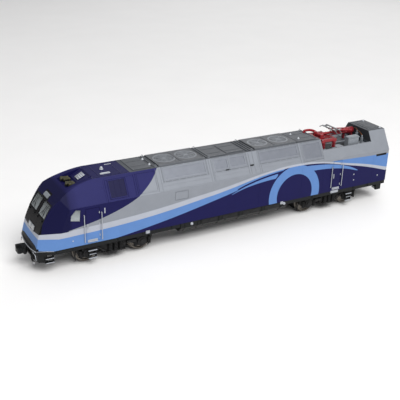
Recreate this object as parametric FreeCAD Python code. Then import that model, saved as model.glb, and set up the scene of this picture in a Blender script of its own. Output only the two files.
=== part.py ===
import FreeCAD, Part
import math
import os

# HO-scale (1:87.1) dual-power electric locomotive model.
# Frame: +X towards the streamlined cab, +Y to the left side, +Z up.
# The origin is under the middle of the model, level with the lowest point of the wheel flanges.

V = FreeCAD.Vector
X_AXIS = V(1, 0, 0)
Y_AXIS = V(0, 1, 0)
Z_AXIS = V(0, 0, 1)

# --- driving dimensions, millimetres and degrees ---
HALF_WIDTH = 16.95          # body side
SILL_Z = 14.2               # lower edge of the body side
BELT_Z = 35.95              # where the side starts to lean inwards
ROOF_Z = 47.95
ROOF_HALF = 10.0            # half width of the flat roof
REAR_X = -118.1             # flat rear end
NOSE_X = 118.15             # nose at the sill
NOSE_CORNER_Y = 12.73       # nose half width at the sill
WALL = 1.2                  # moulded body wall
COUPLER_X = 125.15          # pulling face of each coupler
COUPLER_Z = 10.6
COUPLER_PIVOT_X = 110.0

TRUCK_X = 74.2              # truck pivots
HALF_BASE = 16.1            # half the truck wheelbase
FLANGE_R = 7.05
TREAD_R = 6.4
WHEEL_BACK = 7.275          # inner face of each wheel from the middle
WHEEL_FACE = 10.06          # outer face of each wheel
AXLE_R = 1.25
STUB_R = 1.0
FIT = 0.03                  # radial clearance of a running fit

SHAFT_Z = 18.55             # motor and worm shaft line
SHAFT_R = 1.0
MODULE = 0.5
CENTRE_TEETH = 20
IDLER_TEETH = 14
AXLE_TEETH = 18
WORM_R = 2.5                # pitch radius of the single-start worm
GEAR_HALF = 1.5             # half the face width of the gears
PIN_R = 0.8

PLATE_Z0 = 14.9             # chassis plate
PLATE_Z1 = 17.4
PLATE_HALF = 14.8
PLATE_END = 111.0
COLLAR_R = 11.85            # truck collar in the chassis hole
HOLE_R = 12.0

MOTOR_HALF = 14.0
MOTOR_R = 8.5
FLYWHEEL_R = 6.3
HINGE_X = 32.0              # universal joint at each flywheel
CUP_OFFSET = 13.0           # worm cup from the truck pivot

TANK_X0 = -38.1
TANK_X1 = 35.4
TANK_Z = 8.15

WELL_X0 = -104.7            # pantograph well in the roof
WELL_X1 = -65.7
WELL_LIP_Z = 41.65
WELL_FLOOR_Z = 39.65

HORN_WELL_X = (83.9, 91.9, 98.6)   # top of the falling panel, its foot, and the front wall
HORN_WELL_HALF = 7.4
HORN_FLOOR_Z = 44.0         # at the foot of the panel
HORN_FLOOR_DROP = 0.8       # fall of the floor towards the front wall

PANTO_PIVOT = V(-72.0, 0, 47.0)
PANTO_KNEE = V(-96.5, 0, 47.4)
PANTO_HEAD = V(-81.6, 0, 49.2)
PANTO_SHAFT_R = 0.4
KNEE_PIN_R = 0.35
HEAD_BAR_R = 0.25


# --- helpers ---
def box(x0, x1, y0, y1, z0, z1):
    return Part.makeBox(x1 - x0, y1 - y0, z1 - z0, V(x0, y0, z0))


def rod(start, end, radius):
    return Part.makeCylinder(radius, (end - start).Length, start, end - start)


def disc(x, y, z, radius, half, axis=Y_AXIS):
    return Part.makeCylinder(radius, 2 * half, V(x, y, z) - axis * half, axis)


def join(shapes):
    if len(shapes) == 1:
        return shapes[0]
    return shapes[0].fuse(shapes[1:]).removeSplitter()


def prism(points, along):
    face = Part.Face(Part.makePolygon(points + [points[0]]))
    return face.extrude(along)


def prism_xz(points, y0, y1):
    return prism([V(x, y0, z) for x, z in points], V(0, y1 - y0, 0))


def prism_yz(points, x0, x1):
    return prism([V(x0, y, z) for y, z in points], V(x1 - x0, 0, 0))


def prism_xy(points, z0, z1):
    return prism([V(x, y, z0) for x, y in points], V(0, 0, z1 - z0))


def mirror_y(shape):
    return shape.mirror(V(0, 0, 0), Y_AXIS)


def both_sides(shapes):
    return shapes + [mirror_y(s) for s in shapes]


def half_turn(shape):
    turned = shape.copy()
    turned.rotate(V(0, 0, 0), Z_AXIS, 180)
    return turned


def moved(shape, x, y=0, z=0):
    copy = shape.copy()
    copy.translate(V(x, y, z))
    return copy


def save(name, shapes):
    if not isinstance(shapes, list):
        shapes = [shapes]
    solids = [solid for shape in shapes for solid in shape.Solids]
    for solid in solids:
        if not solid.isValid() or solid.Volume <= 0:
            raise ValueError("bad solid in " + name)
    Part.makeCompound(solids).exportStep("parts/" + name + ".step")
    print(name, len(solids))


def slope_y(z):
    """Half width of the leaning upper side at height z."""
    return HALF_WIDTH - (z - BELT_Z) * (HALF_WIDTH - ROOF_HALF) / (ROOF_Z - BELT_Z)


SLOPE_LENGTH = math.hypot(ROOF_Z - BELT_Z, HALF_WIDTH - ROOF_HALF)
SLOPE_NORMAL = (
    (ROOF_Z - BELT_Z) / SLOPE_LENGTH,
    (HALF_WIDTH - ROOF_HALF) / SLOPE_LENGTH,
)


def slope_slab(x0, x1, z0, z1, low, high):
    """Slab lying on the leaning side, from low to high measured outwards from its surface."""
    ny, nz = SLOPE_NORMAL
    corners = []
    for z, rise in ((z0, low), (z1, low), (z1, high), (z0, high)):
        corners.append((slope_y(z) + ny * rise, z + nz * rise))
    return prism_yz(corners, x0, x1)


# --- body ---
def body_section(inset):
    ny, nz = SLOPE_NORMAL
    side = HALF_WIDTH - inset
    roof = ROOF_Z - inset
    lean = (HALF_WIDTH - ROOF_HALF) / (ROOF_Z - BELT_Z)
    offset = inset / ny
    belt = BELT_Z - (offset - inset) / lean
    roof_half = slope_y(roof) - offset
    bottom = SILL_Z - (1.0 if inset else 0.0)
    return [(-side, bottom), (-side, belt), (-roof_half, roof),
            (roof_half, roof), (side, belt), (side, bottom)]


def nose_cutter(inset):
    """Region behind the nose profile: a raked front, a round brow and a long falling crown."""
    shift = V(-inset, 0, -inset * 0.8)
    outline = [V(NOSE_X, 0, SILL_Z), V(115.9, 0, 23.3), V(112.0, 0, 31.5), V(107.0, 0, 38.7),
               V(104.0, 0, 41.2), V(100.5, 0, 43.3), V(93.0, 0, 46.2), V(84.0, 0, ROOF_Z)]
    foot, knee, glass, brow, brow_mid, crown, crown_mid, top = [point + shift for point in outline]
    low = V(foot.x + 0.6, 0, SILL_Z - 5)
    back_top = V(REAR_X - 5, 0, top.z)
    back_low = V(REAR_X - 5, 0, SILL_Z - 5)
    edges = [
        Part.LineSegment(low, foot).toShape(),
        Part.LineSegment(foot, knee).toShape(),
        Part.Arc(knee, glass, brow).toShape(),
        Part.Arc(brow, brow_mid, crown).toShape(),
        Part.Arc(crown, crown_mid, top).toShape(),
        Part.LineSegment(top, back_top).toShape(),
        Part.LineSegment(back_top, back_low).toShape(),
        Part.LineSegment(back_low, low).toShape(),
    ]
    face = Part.Face(Part.Wire(edges))
    face.translate(V(0, -30, 0))
    return face.extrude(V(0, 60, 0))


def taper_cutter(inset):
    """Material removed outside the flat facet on the left side of the nose."""
    a = V(109.5, HALF_WIDTH, SILL_Z)
    b = V(100.5, HALF_WIDTH, BELT_Z)
    c = V(NOSE_X, NOSE_CORNER_Y, SILL_Z)
    normal = (b - a).cross(c - a)
    normal.normalize()
    if normal.y < 0:
        normal = normal * -1
    along = (b - a)
    along.normalize()
    across = normal.cross(along)
    centre = a - normal * inset
    corners = []
    for s, t in ((-1, -1), (1, -1), (1, 1), (-1, 1)):
        corners.append(centre + along * (90 * s) + across * (90 * t))
    return prism(corners, normal * 60)


def body_solid(inset):
    hull = prism_yz(body_section(inset), REAR_X + inset, NOSE_X + 5)
    hull = hull.common(nose_cutter(inset))
    facet = taper_cutter(inset)
    return hull.cut([facet, mirror_y(facet)])


def windshield(edge):
    low, high = 30.4 - edge, 36.9 + edge
    pane = [(1.7 - edge, low), (1.7 - edge, high), (10.8 + edge, high), (11.3 + edge, low)]
    return prism_yz(pane, 100, 125)


def side_window(edge):
    pane = [(95.2 - edge, 28.3 - edge), (94.6 - edge, 34.5 + edge), (97.2 + edge, 35.1 + edge),
            (99.8 + edge, 32.3), (100.2 + edge, 29.3 - edge)]
    return prism_xz(pane, 8, 25)


REAR_WINDOWS = ((-3.2, 3.2, 27.5, 34.5),)


def frame_groove(x0, x1, z0, z1):
    """Thin groove round a door or panel on the left side."""
    depth = 0.25
    line = 0.35
    outer = box(x0, x1, HALF_WIDTH - depth, HALF_WIDTH + 1, z0, z1)
    return outer.cut(box(x0 + line, x1 - line, HALF_WIDTH - 1, HALF_WIDTH + 2, z0 + line, z1 - line))


def well(depth):
    """Open-sided pantograph well, made deeper by the given amount."""
    lips = box(WELL_X0 - depth, WELL_X1 + depth, -30, 30, WELL_LIP_Z - depth, 60)
    floor = box(WELL_X0 - depth, WELL_X1 + depth, -12.6 - depth, 12.6 + depth, WELL_FLOOR_Z - depth, 60)
    return lips.fuse(floor)


def horn_well(depth):
    """Recess in the crown: a panel falling forwards, and a floor that carries the horns."""
    back, foot, front = HORN_WELL_X
    outline = [(back - 3 - depth, 60), (back - depth, ROOF_Z), (foot - depth, HORN_FLOOR_Z - depth),
               (front + depth, HORN_FLOOR_Z - HORN_FLOOR_DROP - depth), (front + depth, 60)]
    half = HORN_WELL_HALF + depth
    return prism_xz(outline, -half, half)


GRILLE_X = (17.6, 44.1)
TALL_PANEL_X = (-64.3, -50.6)
SLOPE_PANELS = (
    (2.9, 11.7), (-9.1, 1.4), (-46.6, -19.1),
)


def body_shell():
    outer = body_solid(0)
    inner = body_solid(WALL)
    inner = inner.cut([well(WALL), horn_well(WALL)])
    shell = outer.cut(inner).cut([well(0), horn_well(0)])
    cuts = []
    for opening in (windshield(0), side_window(0)):
        cuts += [opening, mirror_y(opening)]
    for y0, y1, z0, z1 in REAR_WINDOWS:
        cuts.append(box(REAR_X - 2, REAR_X + 3, y0, y1, z0, z1))
    for x0, x1 in ((83.9, 92.1), (-79.2, -72.4)):
        groove = frame_groove(x0, x1, 15.4, 34.6)
        cuts += [groove, mirror_y(groove)]
    panel = frame_groove(31.0, 39.4, 29.3, 34.5)
    cuts += [panel, mirror_y(panel)]
    for x0, x1, z0, z1 in slope_recesses():
        recess = slope_slab(x0, x1, z0, z1, -0.5, 2)
        cuts += [recess, mirror_y(recess)]
    shell = shell.cut(cuts)
    return shell


def slope_recesses():
    recesses = [(GRILLE_X[0], GRILLE_X[1], 41.3, 47.2)]
    recesses += [(x0, x1, 41.5, 47.0) for x0, x1 in SLOPE_PANELS]
    recesses.append((TALL_PANEL_X[0], TALL_PANEL_X[1], 38.2, 47.0))
    return recesses


def side_grilles():
    """Louvred panels let into the recesses of both leaning sides."""
    bars = []
    for x0, x1, z0, z1 in slope_recesses():
        gap = 0.05
        back = slope_slab(x0 + gap, x1 - gap, z0 + gap, z1 - gap, -0.5, -0.32)
        slats = []
        pitch = 0.62
        count = int((x1 - x0 - 1.0) / pitch)
        start = (x0 + x1 - (count - 1) * pitch) / 2
        for i in range(count):
            x = start + i * pitch
            slats.append(slope_slab(x - 0.16, x + 0.16, z0 + 0.5, z1 - 0.5, -0.34, -0.08))
        rim = slope_slab(x0 + gap, x1 - gap, z0 + gap, z1 - gap, -0.34, 0.12)
        rim = rim.cut(slope_slab(x0 + 0.5, x1 - 0.5, z0 + 0.45, z1 - 0.45, -1, 1))
        bars.append(join([back, rim] + slats))
    return both_sides(bars)


def window_glass():
    skin = body_solid(0.25).cut(body_solid(0.95))
    panes = []
    for opening in (windshield(-FIT), side_window(-FIT)):
        pane = skin.common(opening)
        panes += [pane, mirror_y(pane)]
    for y0, y1, z0, z1 in REAR_WINDOWS:
        panes.append(box(REAR_X + 0.25, REAR_X + 0.9, y0 + FIT, y1 - FIT, z0 + FIT, z1 - FIT))
    return panes


def headlight_lenses():
    """Square lamp above the windshield, lamp bar below it and two rear marker lamps."""
    skin = body_solid(-0.3).cut(body_solid(0))
    upper = skin.common(box(100, 120, -3.2, 3.2, 38.4, 39.9))
    lower = skin.common(box(100, 122, 0.4, 4.3, 22.0, 24.4))
    rear = [disc(REAR_X - 0.2, y, 24.0, 1.0, 0.2, X_AXIS) for y in (-13.0, 13.0)]
    return [upper, lower, mirror_y(lower)] + rear


# --- chassis ---
def chassis_frame():
    plate = box(-PLATE_END, PLATE_END, -PLATE_HALF, PLATE_HALF, PLATE_Z0, PLATE_Z1)
    nose = prism_xy([(100, 20), (112, 20), (112, 12.0), (103.5, PLATE_HALF), (100, PLATE_HALF)], 14, 19)
    cuts = [nose, mirror_y(nose)]
    for x in (-TRUCK_X, TRUCK_X):
        cuts.append(disc(x, 0, PLATE_Z0 + 1.25, HOLE_R, 2, Z_AXIS))
    cuts.append(box(-MOTOR_HALF - 0.3, MOTOR_HALF + 0.3, -8.9, 8.9, 14, 18))
    for side in (-1, 1):
        x0, x1 = sorted((side * 16.2, side * 36.0))
        cuts.append(box(x0, x1, -7.2, 7.2, 14, 18))
        x0, x1 = sorted((side * (TRUCK_X - CUP_OFFSET - 3.8), side * (TRUCK_X - 9.0)))
        cuts.append(box(x0, x1, -5.6, 5.6, 14, 18))
        cuts.append(disc(side * 15.3, 0, SHAFT_Z, 2.43, 2, X_AXIS))
    plate = plate.cut(cuts)
    cups = [disc(x, y, (PLATE_Z1 + 20.4) / 2, 1.6, (20.4 - PLATE_Z1) / 2, Z_AXIS)
            for x in (-98.0, 98.0) for y in (-9.0, 9.0)]
    return join([plate] + cups)


def body_screws():
    """Four screws from below that hold the body to the chassis."""
    screws = []
    for x in (-98.0, 98.0):
        for y in (-12.6, 12.6):
            head = disc(x, y, PLATE_Z0 - 0.4, 1.2, 0.4, Z_AXIS)
            slot = box(x - 1.0, x + 1.0, y - 0.15, y + 0.15, 14.0, 14.4)
            screws.append(head.cut(slot))
    return screws


def fuel_tank():
    """Open-topped tank moulding with rounded lower edges under the chassis plate."""
    half = 16.9
    corner = 3.0
    outline = [(-half, PLATE_Z0), (-half, TANK_Z + corner), (-half + corner, TANK_Z),
               (half - corner, TANK_Z), (half, TANK_Z + corner), (half, PLATE_Z0)]
    tank = prism_yz(outline, TANK_X0, TANK_X1)
    wall = 1.2
    hollow = [(-half + wall, 16), (-half + wall, TANK_Z + corner), (-half + corner, TANK_Z + wall),
              (half - corner, TANK_Z + wall), (half - wall, TANK_Z + corner), (half - wall, 16)]
    tank = tank.cut(prism_yz(hollow, TANK_X0 + wall, TANK_X1 - wall))
    skirt_cut = box(-60, 60, HALF_WIDTH - 1.5, 20, SILL_Z, 16)
    tank = tank.cut([skirt_cut, mirror_y(skirt_cut)])
    ribs = []
    for x in (-24.0, -9.0, 6.0, 21.0):
        ribs.append(box(x - 0.4, x + 0.4, half - 0.1, half + 0.04, 10.5, 13.8))
    return join([tank] + both_sides(ribs))


def skirt():
    """Black underframe rail along both sides below the painted body."""
    rails = []
    for x0, x1 in ((TANK_X1 + 0.1, 108.5), (REAR_X + 3.1, TANK_X0 - 0.1)):
        rails.append(box(x0, x1, 14.95, 16.55, 11.7, 14.1))
    return both_sides(rails)


def pilot(front):
    """End sill, coupler opening, plow and side steps; the front one follows the nose plan."""
    if front:
        plan = [(108.6, -16.4), (109.4, -16.4), (118.1, -12.7), (119.3, -5.0), (119.3, 5.0),
                (118.1, 12.7), (109.4, 16.4), (108.6, 16.4)]
        plow = [(113.0, -14.4), (117.4, -12.2), (118.6, -5.0), (118.6, 5.0), (117.4, 12.2), (113.0, 14.4)]
    else:
        plan = [(115.2, -16.55), (118.1, -16.55), (118.1, 16.55), (115.2, 16.55)]
        plow = [(113.0, -14.7), (117.2, -14.7), (117.9, -5.0), (117.9, 5.0), (117.2, 14.7), (113.0, 14.7)]
    bottom = 7.0
    sill = prism_xy(plan, 11.7, 14.1)
    blade = prism_xy(plow, bottom, 11.8)
    inner = prism_xy([(x - 1.4, y * 0.92) for x, y in plow], bottom - 1, 11.0)
    shape = join([sill, blade.cut(inner)])
    slot = box(100, 125, -5.2, 5.2, 8.2, 13.1)
    mouth = box(100, 125, -4.4, 4.4, 7.8, 8.4)
    back = box(100, 112.0, -14, 14, 11, 15)
    shape = shape.cut([slot, mouth, back])
    if not front:
        return shape
    steps = []
    for z in (bottom, 9.4):
        steps.append(box(109.6, 114.2, 13.4, 15.4, z, z + 0.45))
    steps.append(box(109.4, 110.0, 13.4, 15.0, bottom, 11.9))
    steps.append(box(113.4, 114.4, 13.4, 14.4, bottom, 11.9))
    return join([shape] + both_sides(steps))


def coupler_box():
    """Two-part draft gear box with the pivot post, screwed under the plate."""
    outer = box(106.0, 115.6, -3.8, 3.8, 8.9, 12.5)
    outer = outer.cut(prism_xy([(107.4, -2.6), (116, -3.3), (116, 3.3), (107.4, 2.6)], 9.75, 11.55))
    post = disc(COUPLER_PIVOT_X, 0, 10.7, 0.8, 1.7, Z_AXIS)
    spacer = box(106.0, PLATE_END, -3.8, 3.8, 12.4, PLATE_Z0)
    return join([outer, post, spacer])


def coupler():
    """Swinging shank and knuckle jaw; the knuckle is a piece of its own."""
    eye = disc(COUPLER_PIVOT_X, 0, COUPLER_Z + 0.05, 2.0, 0.75, Z_AXIS)
    shank = box(COUPLER_PIVOT_X, 120.4, -1.2, 1.2, 9.9, 11.4)
    head = prism_xy([(119.7, -2.6), (121.6, -3.1), (124.8, -3.1), (124.8, -1.5), (122.6, -1.3),
                     (122.0, 0.2), (122.0, 2.4), (121.2, 3.2), (119.7, 1.6)], 8.6, 12.6)
    shape = join([eye, shank, head])
    bore = disc(COUPLER_PIVOT_X, 0, COUPLER_Z + 0.05, 0.8 + FIT, 2, Z_AXIS)
    slot = disc(KNUCKLE_X, KNUCKLE_Y, COUPLER_Z, 1.45, 1.25, Z_AXIS)
    pin_bore = disc(KNUCKLE_X, KNUCKLE_Y, COUPLER_Z, 0.45 + FIT, 3, Z_AXIS)
    return shape.cut([bore, slot, pin_bore])


KNUCKLE_X = 121.6
KNUCKLE_Y = 1.6


def knuckle():
    """Pivoting hook of the coupler with its pin and air-hose shaped trip wire."""
    hub = disc(KNUCKLE_X, KNUCKLE_Y, COUPLER_Z, 1.2, 1.15, Z_AXIS)
    arm = prism_xy([(KNUCKLE_X + 0.5, 0.9), (KNUCKLE_X + 0.5, 2.6), (124.2, 3.0), (COUPLER_X, 2.2),
                    (COUPLER_X, 0.2), (124.0, 0.0), (123.9, 1.3)], 9.45, 11.75)
    pin = disc(KNUCKLE_X, KNUCKLE_Y, COUPLER_Z, 0.45, 2.0, Z_AXIS)
    return join([hub, arm, pin])


# --- drive ---
def motor_housing():
    can = disc(0, 0, SHAFT_Z, MOTOR_R, MOTOR_HALF, X_AXIS)
    can = can.common(box(-20, 20, -8.7, 8.7, SHAFT_Z - 7.4, SHAFT_Z + 7.4))
    cavity = disc(0, 0, SHAFT_Z, 6.8, 12.4, X_AXIS)
    boss = disc(0, 0, SHAFT_Z, 2.4, MOTOR_HALF + 1.6, X_AXIS)
    bore = disc(0, 0, SHAFT_Z, SHAFT_R + FIT, 20, X_AXIS)
    brushes = [box(-13.0, -11.0, y - 1.2, y + 1.2, SHAFT_Z + 7.3, SHAFT_Z + 8.2) for y in (-4.0, 4.0)]
    return join([can, boss] + brushes).cut([cavity, bore])


def motor_rotor():
    shaft = disc(0, 0, SHAFT_Z, SHAFT_R, 29.0, X_AXIS)
    core = disc(0, 0, SHAFT_Z, 6.2, 7.0, X_AXIS)
    slots = []
    for i in range(5):
        angle = math.radians(72 * i + 18)
        slot = disc(0, 5.6 * math.cos(angle), SHAFT_Z + 5.6 * math.sin(angle), 0.9, 8, X_AXIS)
        slots.append(slot)
    commutator = disc(-9.6, 0, SHAFT_Z, 2.2, 1.6, X_AXIS)
    return join([shaft, core.cut(slots), commutator])


def flywheels():
    """Brass flywheels with a drive socket on the outer face of each."""
    disc_part = disc(22.6, 0, SHAFT_Z, FLYWHEEL_R, 5.4, X_AXIS)
    hub = disc(31.0, 0, SHAFT_Z, 2.7, 3.2, X_AXIS)
    shape = join([disc_part, hub])
    shape = shape.cut(disc(20, 0, SHAFT_Z, SHAFT_R, 9.0, X_AXIS))
    shape = shape.cut(disc(32.3, 0, SHAFT_Z, 1.9, 2.4, X_AXIS))
    groove = disc(22.6, 0, SHAFT_Z, 8, 0.3, X_AXIS).cut(disc(22.6, 0, SHAFT_Z, FLYWHEEL_R - 0.3, 1, X_AXIS))
    shape = shape.cut(groove)
    return [shape, half_turn(shape)]


def universal_ball():
    """Ball in the flywheel socket with the upright pin that the shaft swings on."""
    ball = Part.makeSphere(1.55, V(HINGE_X, 0, SHAFT_Z))
    pin = disc(HINGE_X, 0, SHAFT_Z, 0.5, 1.68, Z_AXIS)
    return join([ball, pin]).cut(disc(HINGE_X, 0, SHAFT_Z, 0.6 + FIT, 3, X_AXIS))


def drive_shaft():
    end = TRUCK_X - CUP_OFFSET
    bar = rod(V(HINGE_X - 1.7, 0, SHAFT_Z), V(end, 0, SHAFT_Z), 0.6)
    ball = Part.makeSphere(1.3, V(end, 0, SHAFT_Z))
    sleeve = disc((HINGE_X + end) / 2 + 1, 0, SHAFT_Z, 0.95, 8.0, X_AXIS)
    return join([bar, ball, sleeve])


def gear_outline(teeth, phase):
    pitch_r = MODULE * teeth / 2
    step = 2 * math.pi / teeth
    root = pitch_r - 1.2 * MODULE
    tip = pitch_r + 0.85 * MODULE
    points = []
    for i in range(teeth):
        angle = phase + i * step
        for radius, share in ((root, -0.27), (tip, -0.09), (tip, 0.09), (root, 0.27)):
            a = angle + share * step
            points.append((radius * math.cos(a), radius * math.sin(a)))
    return points


def gear(teeth, x, z, phase, bore):
    outline = [(x + u, z + w) for u, w in gear_outline(teeth, phase)]
    wheel = prism_xz(outline, -GEAR_HALF, GEAR_HALF)
    return wheel.cut(disc(x, 0, z, bore, 4))


def mate_phase(phase, teeth, mate_teeth, line):
    """Phase that puts a gap of the mate where the gear has a tooth, along the line of centres."""
    step = 2 * math.pi / teeth
    lag = (line - phase) % step
    return line + math.pi + lag * teeth / mate_teeth + math.pi / mate_teeth


CENTRE_Z = SHAFT_Z - WORM_R - MODULE * CENTRE_TEETH / 2
TRAIN_LINE = math.atan2(FLANGE_R - CENTRE_Z, HALF_BASE)
TRAIN_LENGTH = math.hypot(FLANGE_R - CENTRE_Z, HALF_BASE)
TRAIN_SLACK = TRAIN_LENGTH - MODULE * (CENTRE_TEETH / 2 + IDLER_TEETH + AXLE_TEETH / 2)
IDLER_DISTANCE = MODULE * (CENTRE_TEETH + IDLER_TEETH) / 2 + TRAIN_SLACK / 2
IDLER_X = IDLER_DISTANCE * math.cos(TRAIN_LINE)
IDLER_Z = CENTRE_Z + IDLER_DISTANCE * math.sin(TRAIN_LINE)
CENTRE_PHASE = math.pi / 2 + math.pi / CENTRE_TEETH


def worm():
    """Single-start right-hand worm with its shaft and the socket for the drive shaft."""
    lead = math.pi * MODULE
    length = 9.0
    root = 1.95
    turns = 4
    spine = Part.makeHelix(lead, turns * lead, root)
    profile = Part.Wire(Part.makePolygon([
        V(root - 0.25, 0, -0.48), V(WORM_R + 0.4, 0, -0.14), V(WORM_R + 0.4, 0, 0.14),
        V(root - 0.25, 0, 0.48), V(root - 0.25, 0, -0.48)]))
    thread = Part.Wire(spine.Edges).makePipeShell([profile], True, True)
    if thread.ShapeType != "Solid":
        thread = Part.Solid(thread)
    thread.translate(V(0, 0, -turns * lead / 2))
    thread.rotate(V(0, 0, 0), Y_AXIS, 90)
    core = disc(0, 0, 0, root, length / 2 - 1.3, X_AXIS)
    shape = core.fuse(thread)
    shaft = rod(V(-9.6, 0, 0), V(9.6, 0, 0), SHAFT_R)
    cup = disc(-12.0, 0, 0, 2.5, 2.6, X_AXIS)
    hole = disc(-12.9, 0, 0, 1.85, 2.5, X_AXIS)
    shape = shape.fuse([shaft, cup]).cut(hole)
    return moved(shape, 0, 0, SHAFT_Z)


def centre_gear():
    return gear(CENTRE_TEETH, 0, CENTRE_Z, CENTRE_PHASE, PIN_R + FIT)


def idler(side):
    line = TRAIN_LINE if side > 0 else math.pi - TRAIN_LINE
    phase = mate_phase(CENTRE_PHASE, CENTRE_TEETH, IDLER_TEETH, line)
    return gear(IDLER_TEETH, side * IDLER_X, IDLER_Z, phase, PIN_R + FIT), phase, line


def wheelset(side):
    """Two wheels, the axle with its stub ends and the pressed-on axle gear."""
    x = side * HALF_BASE
    profile = [(AXLE_R, WHEEL_BACK), (6.6, WHEEL_BACK), (FLANGE_R, 7.6), (FLANGE_R, 7.8),
               (6.62, 8.05), (TREAD_R + 0.06, 8.25), (TREAD_R - 0.06, WHEEL_FACE), (5.5, WHEEL_FACE),
               (5.2, 9.4), (2.5, 9.4), (2.2, WHEEL_FACE), (AXLE_R, WHEEL_FACE)]
    face = Part.Face(Part.makePolygon([V(r, y, 0) for r, y in profile + profile[:1]]))
    wheel = face.revolve(V(0, 0, 0), Y_AXIS, 360)
    wheel = moved(wheel, x, 0, FLANGE_R)
    axle = disc(x, 0, FLANGE_R, AXLE_R, WHEEL_FACE)
    axle = axle.fuse(disc(x, 0, FLANGE_R, STUB_R, 12.7))
    phase_idler, line = idler(side)[1:]
    phase = mate_phase(phase_idler, IDLER_TEETH, AXLE_TEETH, line)
    pinion = gear(AXLE_TEETH, x, FLANGE_R, phase, AXLE_R)
    return [wheel, mirror_y(wheel), axle, pinion]


# --- truck ---
def truck_housing():
    """Gear case with its worm tower, collar plate and side bolster."""
    lower = prism_xz([(-20.5, 2.0), (20.5, 2.0), (21.3, 5.5), (19.0, 11.0), (9.5, 14.2),
                      (-9.5, 14.2), (-19.0, 11.0), (-21.3, 5.5)], -3.6, 3.6)
    tower = box(-9.0, 9.0, -4.6, 4.6, 12.0, 23.0)
    collar = disc(0, 0, 15.3, COLLAR_R, 2.1, Z_AXIS)
    flange = disc(0, 0, 14.0, 12.7, 0.75, Z_AXIS)
    bolster = box(-4.6, 4.6, -11.3, 11.3, 8.2, 10.6)
    web = box(-3.0, 3.0, -10.6, 10.6, 10.5, 14.0)
    tabs = [box(-2.0, 2.0, 9.6, 12.6, 17.5, 18.3), box(-2.0, 2.0, 9.6, 11.7, 17.3, 17.6)]
    shape = join([lower, tower, collar, flange, bolster, web] + both_sides(tabs))
    cuts = [disc(0, 0, CENTRE_Z, 5.8, GEAR_HALF + 0.12)]
    for side in (-1, 1):
        cuts.append(disc(side * IDLER_X, 0, IDLER_Z, 4.3, GEAR_HALF + 0.12))
        cuts.append(disc(side * HALF_BASE, 0, FLANGE_R, 5.3, GEAR_HALF + 0.12))
        cuts.append(disc(side * HALF_BASE, 0, FLANGE_R, AXLE_R + FIT, 5))
        x = side * HALF_BASE
        cuts.append(box(x - AXLE_R - FIT, x + AXLE_R + FIT, -5, 5, 0, FLANGE_R))
        cuts.append(disc(side * IDLER_X, 0, IDLER_Z, PIN_R, 3.2))
    cuts.append(disc(0, 0, CENTRE_Z, PIN_R, 3.2))
    cuts.append(box(-18.5, 18.5, -GEAR_HALF - 0.12, GEAR_HALF + 0.12, 1, 5.5))
    cuts.append(disc(0, 0, SHAFT_Z, 3.2, 5.2, X_AXIS))
    cuts.append(box(-13.0, -9.0, -3.3, 3.3, 15.6, 19))
    cuts.append(disc(0, 0, SHAFT_Z, SHAFT_R + FIT, 12, X_AXIS))
    cuts.append(box(-5.2, 5.2, -3.2, 3.2, SHAFT_Z, 26))
    cuts.append(box(-5.6, 5.6, -GEAR_HALF - 0.12, GEAR_HALF + 0.12, 11, 18))
    return shape.cut(cuts)


def worm_cover():
    """Snap-on cap over the worm tower."""
    top = box(-9.4, 9.4, -5.1, 5.1, 23.05, 23.9)
    lip = box(-9.4, 9.4, 4.65, 5.1, 20.5, 23.1)
    return join([top, lip, mirror_y(lip)])


def gear_cover():
    plate = box(-20.5, 20.5, -3.9, 3.9, 1.2, 1.95)
    pads = [box(x - 1.2, x + 1.2, -GEAR_HALF, GEAR_HALF, 1.9, 3.4) for x in (-7.0, 7.0)]
    return join([plate] + pads)


def gear_pins():
    pins = [disc(0, 0, CENTRE_Z, PIN_R, 3.1)]
    for side in (-1, 1):
        pins.append(disc(side * IDLER_X, 0, IDLER_Z, PIN_R, 3.1))
    return pins


def axle_bearings():
    bushes = []
    for x in (-HALF_BASE, HALF_BASE):
        bush = disc(x, 12.0, FLANGE_R, 1.8, 0.8).cut(disc(x, 12.0, FLANGE_R, STUB_R + FIT, 3))
        flange = disc(x, 11.1, FLANGE_R, 2.3, 0.15).cut(disc(x, 11.1, FLANGE_R, STUB_R + FIT, 3))
        bushes.append(join([bush, flange]))
    return both_sides(bushes)


def pickup_strips():
    strips = []
    for side in (-1, 1):
        x0, x1 = sorted((side * 5.2, side * 18.5))
        t0, t1 = sorted((side * 5.2, side * 7.2))
        blade = box(x0, x1, 6.5, 6.8, 9.3, 10.5)
        tab = box(t0, t1, 3.6, 6.6, 9.3, 9.6)
        strips.append(join([blade, tab]))
    return both_sides(strips)


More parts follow.
